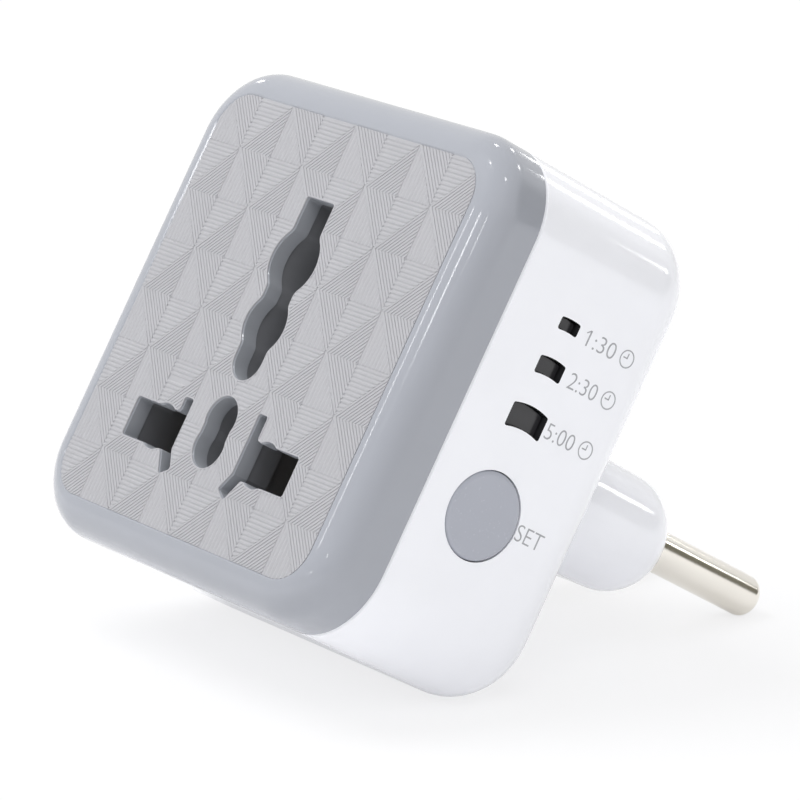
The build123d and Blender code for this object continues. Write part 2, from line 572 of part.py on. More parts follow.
def housing_screws():
    """The four screws that close the housing from the rear."""
    length = TUBE_FLOOR + SCREW_BITE
    return [screw(x, z, SCREW_SEAT_Y, -1, SCREW_R, length, SCREW_HEAD_R, SCREW_HEAD_T)
            for x, z in TUBE_PLACES]


def board_screws():
    """The two screws that hold the power board on its posts."""
    length = BOARD_T + SMALL_SCREW_BITE - SCREW_FIT
    return [screw(x, z, BOARD_Y, 1, SMALL_SCREW_R, length, SMALL_HEAD_R, SMALL_HEAD_T)
            for x, z in BOARD_SCREW_PLACES]


# Plug

def plug_pin(side):
    """A round plug pin with a rounded tip, a flange inside the boss and a solder tail."""
    x = side * PIN_PITCH / 2
    pin = post(x, 0, PIN_D / 2, PIN_STEP, PIN_OUT)
    pin = fillet(rear_edges(pin), PIN_TIP_R)
    pin += post(x, 0, PIN_SHANK_D / 2, -BOSS_END_T, PIN_STEP)
    pin += post(x, 0, PIN_FLANGE_D / 2, -BOSS_END_T - PIN_FLANGE_T, -BOSS_END_T)
    tail_y = -BOSS_END_T - PIN_FLANGE_T - PIN_TAIL_LEN
    return pin + post(x, 0, PIN_TAIL_D / 2, tail_y, -BOSS_END_T)


def pin_retainer():
    """Plate over both pin flanges, screwed to the boss's end wall."""
    rear = -BOSS_END_T
    plate = prism(boss_outline(BOSS_WALL + FIT), rear - RETAINER_T, rear)
    for side in (-1, 1):
        x = side * PIN_PITCH / 2
        plate -= post(x, 0, PIN_FLANGE_D / 2 + FIT, rear - PIN_FLANGE_T, rear)
        plate -= post(x, 0, PIN_TAIL_D / 2 + FIT, rear - RETAINER_T, rear)
        plate -= post(side * RETAINER_SCREW_X, 0, SMALL_SCREW_R + SCREW_FIT, rear - RETAINER_T, rear)
    return plate


def retainer_screws():
    """The two screws between the pins that hold the retainer."""
    seat = -BOSS_END_T - RETAINER_T
    length = RETAINER_T + SMALL_SCREW_BITE - SCREW_FIT
    return [screw(s * RETAINER_SCREW_X, 0, seat, 1, SMALL_SCREW_R, length, SMALL_HEAD_R, SMALL_HEAD_T)
            for s in (-1, 1)]


def pin_lead(side):
    """Insulated wire from a pin's tail to the back of the power board."""
    start = Vector(side * PIN_PITCH / 2, -BOSS_END_T - PIN_FLANGE_T - PIN_TAIL_LEN, 0)
    end = Vector(side * WIRE_PAD_X, BOARD_REAR_Y, WIRE_PAD_Z)
    route = Spline(start, end, tangents=((0, -1, 0), (0, -1, 0)))
    return sweep(Plane(origin=start, z_dir=(0, -1, 0)) * Circle(WIRE_R), path=route)


# Contacts

def contact_carrier():
    """Moulding behind the cover: channels under the slots, contact cavities open at the back, four legs."""
    carrier = block(-BAR_HALF_W, BAR_HALF_W, COVER_IN_Y, CARRIER_REAR_Y,
                    SOCKET_Z + BAR_BOTTOM, SOCKET_Z + BAR_TOP)
    carrier += block(-STEM_HALF_W, STEM_HALF_W, COVER_IN_Y, CARRIER_REAR_Y, SOCKET_Z, SOCKET_Z + STEM_TOP)
    legs = [(BAR_HALF_W, SOCKET_Z + BAR_TOP - LEG_W), (STEM_HALF_W, SOCKET_Z + STEM_TOP - LEG_W)]
    for side in (-1, 1):
        cavity_x = sorted((side * CAVITY_IN_X, side * CAVITY_OUT_X))
        carrier -= block(*cavity_x, COVER_IN_Y + CARRIER_FRONT_T, CARRIER_REAR_Y,
                         SOCKET_Z - CAVITY_HALF_H, SOCKET_Z + CAVITY_HALF_H)
        for outer_x, low_z in legs:
            leg_x = sorted((side * outer_x, side * (outer_x - CARRIER_WALL)))
            carrier += block(*leg_x, CARRIER_REAR_Y, BOARD_Y, low_z, low_z + LEG_W)
    front_slots = slot_cutters(COVER_IN_Y, COVER_IN_Y + CARRIER_FRONT_T, CHANNEL_FIT)
    through_slots = slot_cutters(COVER_IN_Y, CARRIER_REAR_Y, CHANNEL_FIT)
    return carrier - front_slots - through_slots[2:]


def strip_outline(points, thickness):
    """The outline of a bent strip with mitred bends, from its centre line."""
    sides = {1: [], -1: []}
    for i, (y, z) in enumerate(points):
        before = points[max(i - 1, 0)]
        after = points[min(i + 1, len(points) - 1)]
        normals = []
        for a, b in ((before, (y, z)), ((y, z), after)):
            length = hypot(b[0] - a[0], b[1] - a[1])
            if length > 0:
                normals.append(((a[1] - b[1]) / length, (b[0] - a[0]) / length))
        ny = sum(n[0] for n in normals) / len(normals)
        nz = sum(n[1] for n in normals) / len(normals)
        reach = thickness / 2 / (ny * ny + nz * nz)
        for sign in sides:
            sides[sign].append((y + sign * reach * ny, z + sign * reach * nz))
    return make_face(Polyline(*sides[1], *reversed(sides[-1]), close=True))


def spring_contact(side):
    """A brass jaw: two sprung leaves from one base, with a solder tab through the power board."""
    base_y = CARRIER_REAR_Y - CONTACT_T / 2
    front_y = COVER_IN_Y + CARRIER_FRONT_T + 2 * CONTACT_T
    pinch_y = front_y + (base_y - front_y) / 3
    bend_y = front_y + (base_y - front_y) * 2 / 3
    leaf = [(base_y, CONTACT_HALF_H), (bend_y, CONTACT_HALF_H), (pinch_y, CONTACT_PINCH),
            (front_y, CONTACT_PINCH + CONTACT_FLARE)]
    centre_line = [(y, -z) for y, z in reversed(leaf)] + leaf
    profile = Pos(0, SOCKET_Z) * strip_outline(centre_line, CONTACT_T)
    jaw_x = sorted((side * (CAVITY_IN_X + CONTACT_GAP), side * (CAVITY_OUT_X - CONTACT_GAP)))
    jaw = side_prism(profile, *jaw_x)
    tab_x = side * CONTACT_X
    tab = block(tab_x - CONTACT_TAB_W / 2, tab_x + CONTACT_TAB_W / 2, base_y, BOARD_REAR_Y + LEAD_PAST,
                SOCKET_Z - CONTACT_T / 2, SOCKET_Z + CONTACT_T / 2)
    return jaw + tab


# Power board and its parts

def power_board():
    """Board behind the socket, notched around the screw tubes, with holes for every lead and tab."""
    profile = Pos(0, BODY_RISE) * Rectangle(2 * BOARD_HALF_W, 2 * WAIST_HALF_H)
    profile += Pos(0, BODY_RISE) * Rectangle(2 * WAIST_HALF_W, 2 * BOARD_HALF_H)
    for places in LEADS.values():
        profile -= [Pos(x, z) * Circle(LEAD_R + LEAD_FIT) for x, z in places]
    for x, z in BOARD_SCREW_PLACES:
        profile -= Pos(x, z) * Circle(SMALL_SCREW_R + SCREW_FIT)
    tab_slot = Rectangle(CONTACT_TAB_W + 2 * LEAD_FIT, CONTACT_T + 2 * LEAD_FIT)
    profile -= [Pos(side * CONTACT_X, SOCKET_Z) * tab_slot for side in (-1, 1)]
    for z in TIMER_TAB_ZS:
        slot = Rectangle(TIMER_BOARD_T + 2 * LEAD_FIT, TIMER_TAB + 2 * LEAD_FIT)
        profile -= Pos((TIMER_IN_X + TIMER_X) / 2, z) * slot
    return prism(profile, BOARD_Y, BOARD_REAR_Y)


def leads(name, y0):
    """A part's straight leads, from depth y0 through the board."""
    return [post(x, z, LEAD_R, y0, BOARD_REAR_Y + LEAD_PAST) for x, z in LEADS[name]]


def boxed_part(name, width, depth, height, x, z, edge_r):
    """A moulded box that sits flat on the board."""
    body = block(x - width / 2, x + width / 2, BOARD_Y - depth, BOARD_Y, z - height / 2, z + height / 2)
    edges = [e for e in body.edges() if e.center().Y < BOARD_Y - edge_r]
    body = fillet(edges, edge_r)
    return body + leads(name, BOARD_Y - edge_r)


def can_part(name, x, length, groove):
    """A round can that stands on the board in the top row; a crimped can has a groove near its foot."""
    can = post(x, TOP_ROW_Z, CAN_R, BOARD_Y - length, BOARD_Y)
    can = fillet(front_edges(can), CAN_R / 8)
    if groove:
        ring = Pos(x, TOP_ROW_Z) * (Circle(CAN_R + groove) - Circle(CAN_R - groove))
        can -= prism(ring, BOARD_Y - 4 * groove, BOARD_Y - 2 * groove)
    return can + leads(name, BOARD_Y - 2 * LEAD_R)


def varistor():
    """A coated disc that stands on edge on its two leads."""
    centre_y = BOARD_Y - VARISTOR_STAND - VARISTOR_R
    half = VARISTOR_T / 2
    disc = side_post(centre_y, VARISTOR_Z, VARISTOR_R, VARISTOR_X - half, VARISTOR_X + half)
    disc = fillet(disc.edges().filter_by(GeomType.CIRCLE), half / 2)
    return disc + leads("varistor", centre_y)


def axial_part(name, x, radius, body_share, span):
    """An axial part lying on the board, its leads bent down at both ends."""
    length = body_share * span
    axis_y = BOARD_Y - AXIAL_STAND - radius
    body = side_post(axis_y, BOTTOM_ROW_Z, radius, x - length / 2, x + length / 2)
    body = fillet(body.edges().filter_by(GeomType.CIRCLE), radius / 4)
    wire = side_post(axis_y, BOTTOM_ROW_Z, LEAD_R, x - span / 2 - LEAD_R, x + span / 2 + LEAD_R)
    return body + wire + leads(name, axis_y)


def relay_transistor():
    """A small transistor with one flat side, standing on three leads."""
    profile = Circle(TRANSISTOR_R) - Pos(0, TRANSISTOR_R) * Rectangle(3 * TRANSISTOR_R, TRANSISTOR_R)
    top = BOARD_Y - TRANSISTOR_STAND
    body = prism(Pos(TRANSISTOR_X, BOTTOM_ROW_Z) * profile, top - TRANSISTOR_LEN, top)
    return body + leads("relay_transistor", top - LEAD_R)


# Timer board, switch and indicator

def timer_board():
    """Upright board behind the right wall, with two tabs through the power board."""
    front = FRONT_Y + TIMER_BOARD_FRONT
    board = block(TIMER_IN_X, TIMER_X, front, BOARD_Y, TIMER_BOTTOM_Z, TIMER_TOP_Z)
    for z in TIMER_TAB_ZS:
        low, high = z - TIMER_TAB / 2, z + TIMER_TAB / 2
        board += block(TIMER_IN_X, TIMER_X, BOARD_Y, BOARD_REAR_Y + LEAD_PAST, low, high)
    return board


def chip_on_timer_board(size, y, z):
    """A small part that sits flat on the timer board's outer face."""
    height, depth, width = size
    return block(TIMER_X, TIMER_X + height, y - depth / 2, y + depth / 2, z - width / 2, z + width / 2)


def timer_chip():
    """The timer's controller, with two rows of short legs."""
    middle_z = (CHIP_LOW_Z + CHIP_HIGH_Z) / 2
    chip = chip_on_timer_board((CHIP_T, CHIP_LEN, CHIP_HIGH_Z - CHIP_LOW_Z), SIDE_AXIS_Y, middle_z)
    chip = chamfer(chip.faces().sort_by(Axis.X)[-1].edges(), CHIP_T / 5)
    for place in (-3, -1, 1, 3):
        y = SIDE_AXIS_Y + place * CHIP_LEN / 8
        chip += block(TIMER_X, TIMER_X + CHIP_T / 3, y - LEAD_R / 2, y + LEAD_R / 2,
                      CHIP_LOW_Z - CHIP_LEG, CHIP_HIGH_Z + CHIP_LEG)
    return chip


def led_resistors():
    """One small resistor beside each indicator light."""
    y = SIDE_AXIS_Y - SMALL_RESISTOR[1] - LED[1]
    return [chip_on_timer_board(SMALL_RESISTOR, y, z) for _, _, z in window_places()]


def indicator_led(index):
    """A flat light on the timer board, in line with its window."""
    z = window_places()[index][2]
    return chip_on_timer_board(LED, SIDE_AXIS_Y, z)


def tact_switch_body():
    """The push switch's square case, with a round well for its plunger."""
    half = TACT_W / 2
    case = block(TIMER_X, TACT_X, SIDE_AXIS_Y - half, SIDE_AXIS_Y + half,
                 BUTTON_AXIS_Z - half, BUTTON_AXIS_Z + half)
    case = fillet(case.edges().filter_by(Axis.X), half / 6)
    well = PLUNGER_IN + PLUNGER_TRAVEL + PLUNGER_FIT
    return case - side_post(SIDE_AXIS_Y, BUTTON_AXIS_Z, PLUNGER_R + PLUNGER_FIT, TACT_X - well, TACT_X)


def tact_switch_plunger():
    """The switch's round plunger."""
    plunger = side_post(SIDE_AXIS_Y, BUTTON_AXIS_Z, PLUNGER_R, TACT_X - PLUNGER_IN, TACT_X + PLUNGER_OUT)
    return chamfer(plunger.faces().sort_by(Axis.X)[-1].edges(), PLUNGER_OUT / 4)


def set_button():
    """Round push button: cap in the wall, flange behind the collar and a stem over the plunger."""
    cap = side_post(SIDE_AXIS_Y, BUTTON_AXIS_Z, BUTTON_R, FLANGE_X, SIDE_X + BUTTON_PROUD)
    cap = fillet(cap.faces().sort_by(Axis.X)[-1].edges(), BUTTON_EDGE_R)
    cap += side_post(SIDE_AXIS_Y, BUTTON_AXIS_Z, BUTTON_FLANGE_R, FLANGE_X, FLANGE_X + BUTTON_FLANGE_T)
    return cap + side_post(SIDE_AXIS_Y, BUTTON_AXIS_Z, BUTTON_STEM_R, STEM_X, FLANGE_X + BUTTON_FLANGE_T)


def stud_zs():
    """Heights of the two studs that the light guide sits on, between its windows."""
    places = window_places()
    gaps = [(z0 - h0 / 2, z1 + h1 / 2) for (_, h0, z0), (_, h1, z1) in zip(places, places[1:])]
    return [(high + low) / 2 for high, low in gaps]


def indicator_lens():
    """Dark light guide: a plate inside the wall, a pad in each window and a foot over each light."""
    places = window_places()
    half_w = max(w for w, _, _ in places) / 2 + LENS_MARGIN
    low = places[-1][2] - places[-1][1] / 2 - LENS_MARGIN
    high = places[0][2] + places[0][1] / 2 + LENS_MARGIN
    lens = block(LENS_IN_X, SIDE_IN_X, SIDE_AXIS_Y - half_w, SIDE_AXIS_Y + half_w, low, high)
    for width, height, z in places:
        pad = Pos(SIDE_AXIS_Y, z) * window_profile(width, height, FIT)
        lens += side_prism(pad, LENS_IN_X, SIDE_X - LENS_RECESS)
        foot_x = TIMER_X + LED[0] + LED_GAP
        lens += block(foot_x, LENS_IN_X, SIDE_AXIS_Y - LED[1] / 2, SIDE_AXIS_Y + LED[1] / 2,
                      z - LED[2] / 2, z + LED[2] / 2)
    for z in stud_zs():
        lens -= side_post(SIDE_AXIS_Y, z, STUD_R + FIT, LENS_IN_X, SIDE_IN_X)
    return lens


def build():
    """Every piece, by the name of its node."""
    nodes = {
        "front_cover": front_cover(),
        "rear_housing": rear_housing(),
        "housing_screws": housing_screws(),
        "plug_pin_live": plug_pin(1),
        "plug_pin_neutral": plug_pin(-1),
        "pin_retainer": pin_retainer(),
        "retainer_screws": retainer_screws(),
        "live_lead": pin_lead(1),
        "neutral_lead": pin_lead(-1),
        "contact_carrier": contact_carrier(),
        "live_contact": spring_contact(1),
        "neutral_contact": spring_contact(-1),
        "power_board": power_board(),
        "board_screws": board_screws(),
        "relay": boxed_part("relay", RELAY_W, RELAY_DEPTH, RELAY_H, RELAY_X, UPPER_PART_Z, RELAY_EDGE_R),
        "dropper_capacitor": boxed_part("dropper_capacitor", DROPPER_W, DROPPER_DEPTH, DROPPER_H,
                                        DROPPER_X, UPPER_PART_Z, DROPPER_EDGE_R),
        "bridge_rectifier": boxed_part("bridge_rectifier", BRIDGE_W, BRIDGE_DEPTH, BRIDGE_H,
                                       BRIDGE_X, TOP_ROW_Z, BRIDGE_EDGE_R),
        "smoothing_capacitor": can_part("smoothing_capacitor", CAN_X, CAN_LEN, CAN_GROOVE),
        "fuse": can_part("fuse", FUSE_X, FUSE_LEN, 0),
        "varistor": varistor(),
        "zener_diode": axial_part("zener_diode", ZENER_X, ZENER_R, ZENER_BODY, ZENER_SPAN),
        "bleeder_resistor": axial_part("bleeder_resistor", BLEEDER_X, BLEEDER_R, BLEEDER_BODY,
                                       BLEEDER_SPAN),
        "relay_transistor": relay_transistor(),
        "timer_board": timer_board(),
        "timer_chip": timer_chip(),
        "led_resistors": led_resistors(),
        "tact_switch_body": tact_switch_body(),
        "tact_switch_plunger": tact_switch_plunger(),
        "set_button": set_button(),
        "indicator_lens": indicator_lens(),
    }
    for index, place in enumerate(("top", "middle", "bottom")):
        nodes[f"indicator_led_{place}"] = indicator_led(index)
    return nodes


def main():
    """Write one STEP file per node."""
    os.makedirs("parts", exist_ok=True)
    for name, shape in build().items():
        solids = shape if isinstance(shape, list) else shape.solids()
        solids = [s for item in solids for s in item.solids()]
        export_step(solids[0] if len(solids) == 1 else Compound(children=solids), f"parts/{name}.step")


main()
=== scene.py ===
"""Looks of a plug-in surge protector with a charging timer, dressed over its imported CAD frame.

Lengths are in metres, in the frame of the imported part: x points to the right seen from the front, y towards
the wall outlet and z up.
"""

import logging
import math
from collections import Counter
from collections.abc import Callable
from dataclasses import dataclass, field
from enum import Enum

import bmesh
import bpy
from mathutils import Matrix, Vector


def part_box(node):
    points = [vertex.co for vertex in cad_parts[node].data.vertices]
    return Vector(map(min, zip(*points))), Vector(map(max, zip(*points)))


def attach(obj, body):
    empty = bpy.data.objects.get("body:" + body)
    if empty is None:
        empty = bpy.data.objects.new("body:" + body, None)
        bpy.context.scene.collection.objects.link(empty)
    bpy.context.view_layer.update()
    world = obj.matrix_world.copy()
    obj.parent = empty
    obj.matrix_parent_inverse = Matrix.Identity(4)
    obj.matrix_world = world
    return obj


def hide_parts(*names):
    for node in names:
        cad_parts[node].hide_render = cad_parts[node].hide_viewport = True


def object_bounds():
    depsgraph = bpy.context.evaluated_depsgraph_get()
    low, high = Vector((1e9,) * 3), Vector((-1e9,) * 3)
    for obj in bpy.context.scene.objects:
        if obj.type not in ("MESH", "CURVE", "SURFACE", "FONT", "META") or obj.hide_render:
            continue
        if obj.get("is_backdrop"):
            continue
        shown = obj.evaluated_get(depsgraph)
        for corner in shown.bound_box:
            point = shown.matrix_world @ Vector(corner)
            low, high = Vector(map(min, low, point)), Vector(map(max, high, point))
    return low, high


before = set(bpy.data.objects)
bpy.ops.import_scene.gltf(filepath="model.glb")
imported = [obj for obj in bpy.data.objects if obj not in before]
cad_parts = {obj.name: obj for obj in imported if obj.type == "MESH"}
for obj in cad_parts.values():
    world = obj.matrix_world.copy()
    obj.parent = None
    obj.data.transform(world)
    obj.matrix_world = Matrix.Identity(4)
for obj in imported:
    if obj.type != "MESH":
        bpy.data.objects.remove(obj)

MM = 0.001
MERGED = 0.0005 * MM  # points closer than this are one point
ON_LEVEL = 0.01 * MM  # how closely a face of the field lies on the field's level
FACING = 0.999  # share of its normal by which a face of the field looks to the front
UPRIGHT = 90.0  # turn of a ridge that stands upright, in degrees
ONTO_SIDE = (math.radians(90), 0, math.radians(90))  # turns a flat sign onto the right side
CLOUD_DETAIL = 3.0  # detail of the noise that tints a finish
CLOUD_RANGE = (0.3, 0.7)  # values of that noise between which the tint changes
GRAIN_DETAIL = 2.0  # detail of the noise of the fine grain
Spot = tuple[float, float]
Triple = tuple[float, float, float]
log = logging.getLogger("surge_protector")


class Body(str, Enum):
    """Bodies of the frame that pieces ride on."""

    HOUSING = "housing"
    BUTTON = "button"


class Slot(str, Enum):
    """Material slots of the record that pieces belong to."""

    COVER = "cover_grey"
    HOUSING = "housing_white"
    BUTTON = "button_grey"
    PIN = "pin_nickel"


class Grain(Enum):
    """How the fine texture of a finish lies, as its scale along x, y and z."""

    EVEN = (1.0, 1.0, 1.0)
    ALONG_Y = (1.0, 0.04, 1.0)
    RINGS = (0.04, 1.0, 0.04)


# Finishes

def linear(code: float) -> float:
    """Turns an sRGB code from 0 to 255 into scene light."""
    share = code / 255
    return share / 12.92 if share <= 0.04045 else ((share + 0.055) / 1.055) ** 2.4


@dataclass(frozen=True)
class Finish:
    """A moulded surface: a colour that drifts a little, an uneven gloss and a fine grain.

    Attributes:
        name: Name that the material's name starts with.
        rgb: Colour in sRGB codes.
        rough: Least and most roughness.
        drift: Share by which the colour changes.
        patches: Colour patches per metre.
        grain: Grains of the fine texture per metre.
        depth: Height of the fine texture.
        lie: Direction of the fine texture.
        metallic: 1 for bare metal.
        specular: Specular level.
        coat: Weight of a clear glossy skin.
        coat_rough: Roughness of that skin.
    """

    name: str
    rgb: Triple
    rough: Spot = (0.25, 0.35)
    drift: float = 0.015
    patches: float = 90.0
    grain: float = 2600.0
    depth: float = 0.004 * MM
    lie: Grain = Grain.EVEN
    metallic: float = 0.0
    specular: float = 0.5
    coat: float = 0.0
    coat_rough: float = 0.04

    def shade(self, factor: float) -> tuple[float, float, float, float]:
        """Gives the colour as scene light with full alpha, made lighter or darker by a factor."""
        red, green, blue = (min(1.0, linear(code) * factor) for code in self.rgb)
        return red, green, blue, 1.0

    def colour(self, tree: bpy.types.NodeTree, shader: bpy.types.Node,
               place: bpy.types.NodeSocket) -> None:
        """Paints the base colour.

        Args:
            tree: Node tree of the material.
            shader: Its principled shader.
            place: Socket that gives the point on the object.
        """
        clouds = tree.nodes.new("ShaderNodeTexNoise")
        clouds.inputs["Scale"].default_value = self.patches
        clouds.inputs["Detail"].default_value = CLOUD_DETAIL
        tints = tree.nodes.new("ShaderNodeValToRGB")
        factors = (1 - self.drift, 1 + self.drift)
        for element, position, factor in zip(tints.color_ramp.elements, CLOUD_RANGE, factors):
            element.position = position
            element.color = self.shade(factor)
        tree.links.new(place, clouds.inputs["Vector"])
        tree.links.new(clouds.outputs["Fac"], tints.inputs["Fac"])
        tree.links.new(tints.outputs["Color"], shader.inputs["Base Color"])

    def texture(self, tree: bpy.types.NodeTree, shader: bpy.types.Node,
                place: bpy.types.NodeSocket) -> None:
        """Gives the surface its gloss and its fine grain.

        Args:
            tree: Node tree of the material.
            shader: Its principled shader.
            place: Socket that gives the point on the object.
        """
        stretch = tree.nodes.new("ShaderNodeMapping")
        stretch.inputs["Scale"].default_value = self.lie.value
        grains = tree.nodes.new("ShaderNodeTexNoise")
        grains.inputs["Scale"].default_value = self.grain
        grains.inputs["Detail"].default_value = GRAIN_DETAIL
        gloss = tree.nodes.new("ShaderNodeMapRange")
        gloss.inputs["To Min"].default_value = self.rough[0]
        gloss.inputs["To Max"].default_value = self.rough[1]
        relief = tree.nodes.new("ShaderNodeBump")
        relief.inputs["Strength"].default_value = 1.0
        relief.inputs["Distance"].default_value = self.depth
        tree.links.new(place, stretch.inputs["Vector"])
        tree.links.new(stretch.outputs["Vector"], grains.inputs["Vector"])
        tree.links.new(grains.outputs["Fac"], gloss.inputs["Value"])
        tree.links.new(gloss.outputs["Result"], shader.inputs["Roughness"])
        tree.links.new(grains.outputs["Fac"], relief.inputs["Height"])
        tree.links.new(relief.outputs["Normal"], shader.inputs["Normal"])

    def material(self) -> bpy.types.Material:
        """Builds the material, or finds it where it was built before.

        Returns:
            The material.
        """
        title = f"{self.name}_finish"
        found = bpy.data.materials.get(title)
        if found:
            return found
        made = bpy.data.materials.new(title)
        made.use_nodes = True
        tree = made.node_tree
        shader = tree.nodes["Principled BSDF"]
        shader.inputs["Metallic"].default_value = self.metallic
        shader.inputs["Specular IOR Level"].default_value = self.specular
        shader.inputs["Coat Weight"].default_value = self.coat
        shader.inputs["Coat Roughness"].default_value = self.coat_rough
        place = tree.nodes.new("ShaderNodeTexCoord").outputs["Object"]
        self.colour(tree, shader, place)
        self.texture(tree, shader, place)
        made.diffuse_color = self.shade(1.0)
        return made


RIM_GREY = Finish("cover_gloss_grey", (158, 161, 169), (0.10, 0.16), grain=900, depth=0.001 * MM, coat=0.5)
FIELD_GREY = Finish("cover_satin_field", (172, 172, 176), (0.28, 0.40), grain=5000, depth=0.006 * MM)
SLOT_GREY = Finish("slot_satin_grey", (160, 163, 169), (0.4, 0.55), grain=1800, depth=0.006 * MM,
                   specular=0.2)
BUTTON_GREY = Finish("button_satin_grey", (172, 175, 185), (0.22, 0.30), grain=3000, depth=0.003 * MM)
WHITE = Finish("housing_gloss_white", (244, 245, 250), (0.10, 0.16), grain=900, depth=0.001 * MM, coat=0.5)
# The contact carrier's grey, darker than the cover's plastic: partly its own colour, partly painted shade
# deep in the slots.
CARRIER_GREY_AND_SHADE = Finish("carrier_grey", (130, 131, 135), (0.5, 0.65), grain=1800, depth=0.01 * MM, specular=0.2)
NICKEL = Finish("pin_nickel", (238, 234, 226), (0.14, 0.24), depth=0.002 * MM, lie=Grain.RINGS,
                metallic=1.0)
BLACK = Finish("inner_black", (32, 32, 34), (0.4, 0.55), depth=0.01 * MM)
BRASS = Finish("contact_brass", (176, 144, 80), (0.3, 0.45), lie=Grain.ALONG_Y, metallic=1.0)
STEEL = Finish("screw_steel", (176, 177, 180), (0.25, 0.4), lie=Grain.RINGS, metallic=1.0)
BROWN = Finish("lead_brown", (92, 58, 36), (0.4, 0.5))
BLUE = Finish("lead_blue", (44, 84, 168), (0.4, 0.5))
BOARD = Finish("board_green", (38, 98, 62), (0.28, 0.4), drift=0.12, patches=420)
RELAY = Finish("relay_blue", (42, 78, 150), (0.35, 0.5), depth=0.008 * MM)
YELLOW = Finish("capacitor_yellow", (214, 178, 62), (0.3, 0.42))
CAN = Finish("can_black", (40, 40, 46), (0.25, 0.4), lie=Grain.ALONG_Y)
VARISTOR = Finish("varistor_blue", (56, 92, 170), (0.3, 0.42), drift=0.06, depth=0.012 * MM)
GLASS = Finish("diode_glass", (196, 110, 62), (0.08, 0.14), drift=0.15, patches=600, coat=1.0)
TAN = Finish("resistor_tan", (206, 178, 132), (0.3, 0.4))
SMOKED = Finish("lens_smoked", (44, 44, 47), (0.16, 0.26), coat=0.2)
LED = Finish("led_white", (236, 236, 226), (0.2, 0.3))
INK = Finish("print_grey", (165, 166, 170), (0.4, 0.5), drift=0.08, patches=1500)

FINISH_NODES = {
    RIM_GREY: ("front_cover",),
    WHITE: ("rear_housing",),
    BUTTON_GREY: ("set_button",),
    SMOKED: ("indicator_lens",),
    NICKEL: ("plug_pin_live", "plug_pin_neutral"),
    CARRIER_GREY_AND_SHADE: ("contact_carrier",),
    BRASS: ("live_contact", "neutral_contact"),
    STEEL: ("housing_screws", "retainer_screws", "board_screws", "tact_switch_plunger"),
    BROWN: ("live_lead",),
    BLUE: ("neutral_lead",),
    BOARD: ("power_board", "timer_board"),
    RELAY: ("relay",),
    YELLOW: ("dropper_capacitor",),
    CAN: ("smoothing_capacitor",),
    VARISTOR: ("varistor",),
    GLASS: ("zener_diode",),
    TAN: ("bleeder_resistor",),
    LED: ("indicator_led_top", "indicator_led_middle", "indicator_led_bottom"),
    BLACK: ("pin_retainer", "bridge_rectifier", "fuse", "relay_transistor", "timer_chip", "led_resistors",
            "tact_switch_body"),
}


# Steps that the pieces share

def select_only(piece: bpy.types.Object) -> None:
    """Selects one object and makes it the active one.

    Args:
        piece: The object.
    """
    bpy.ops.object.select_all(action="DESELECT")
    piece.select_set(True)
    bpy.context.view_layer.objects.active = piece


def copy_of(source: bpy.types.Object, name: str) -> bpy.types.Object:
    """Copies an object with its own mesh, and selects the copy.

    Args:
        source: Object to copy.
        name: Name of the copy.

    Returns:
        The copy.
    """
    piece = bpy.data.objects.new(name, source.data.copy())
    bpy.context.scene.collection.objects.link(piece)
    select_only(piece)
    return piece


def pick_faces(piece: bpy.types.Object, test: Callable[[bmesh.types.BMFace], bool]) -> None:
    """Goes to edit mode and selects the faces that pass a test.

    Args:
        piece: The object.
        test: Function of a face that says whether it is wanted.
    """
    select_only(piece)
    bpy.ops.object.mode_set(mode="EDIT")
    bpy.ops.mesh.select_mode(type="FACE")
    mesh = bmesh.from_edit_mesh(piece.data)
    for face in mesh.faces:
        face.select_set(bool(test(face)))
    mesh.select_flush_mode()
    bmesh.update_edit_mesh(piece.data)


def pick_points(piece: bpy.types.Object, test: Callable[[Vector], bool]) -> None:
    """Goes to edit mode and selects the points that pass a test.

    Args:
        piece: The object.
        test: Function of a place that says whether the point there is wanted.
    """
    select_only(piece)
    bpy.ops.object.mode_set(mode="EDIT")
    bpy.ops.mesh.select_mode(type="VERT")
    bpy.ops.mesh.select_all(action="DESELECT")
    mesh = bmesh.from_edit_mesh(piece.data)
    for vertex in mesh.verts:
        vertex.select_set(bool(test(vertex.co)))
    mesh.select_flush_mode()
    bmesh.update_edit_mesh(piece.data)


def apply_modifier(piece: bpy.types.Object, kind: str, **settings: object) -> None:
    """Adds a modifier to a piece and applies it.

    Args:
        piece: Object that gets it.
        kind: Blender's name of the modifier's type.
        settings: Values set on the modifier.
    """
    select_only(piece)
    modifier = piece.modifiers.new(kind.lower(), kind)
    for name, value in settings.items():
        setattr(modifier, name, value)
    bpy.ops.object.modifier_apply(modifier=modifier.name)


def join(pieces: list[bpy.types.Object], name: str) -> bpy.types.Object:
    """Joins objects into one.

    Args:
        pieces: Objects to join, the first of which stays.
        name: Name of the result.

    Returns:
        The joined object.
    """
    select_only(pieces[0])
    for piece in pieces[1:]:
        piece.select_set(True)
    bpy.ops.object.join()
    pieces[0].name = name
    return pieces[0]


def settle(piece: bpy.types.Object) -> None:
    """Puts a piece's place into its mesh, so that it sits at the origin."""
    select_only(piece)
    bpy.ops.object.transform_apply(location=True, rotation=True, scale=True)


def block_at(place: Vector | Triple, size: Triple, turn: Triple = (0, 0, 0)) -> bpy.types.Object:
    """Starts a piece as a block.

    Args:
        place: Its middle.
        size: Its size along x, y and z, before it is turned.
        turn: Its rotation in radians.

    Returns:
        The block, selected.
    """
    bpy.ops.mesh.primitive_cube_add(size=1, location=place, rotation=turn)
    block = bpy.context.active_object
    block.scale = size
    settle(block)
    return block


def dress(piece: bpy.types.Object, *finishes: Finish) -> None:
    """Gives a piece its finishes, in the order of its material indices.

    Args:
        piece: The piece.
        finishes: The finishes, of which the first covers it all.
    """
    piece.data.materials.clear()
    for finish in finishes:
        piece.data.materials.append(finish.material())


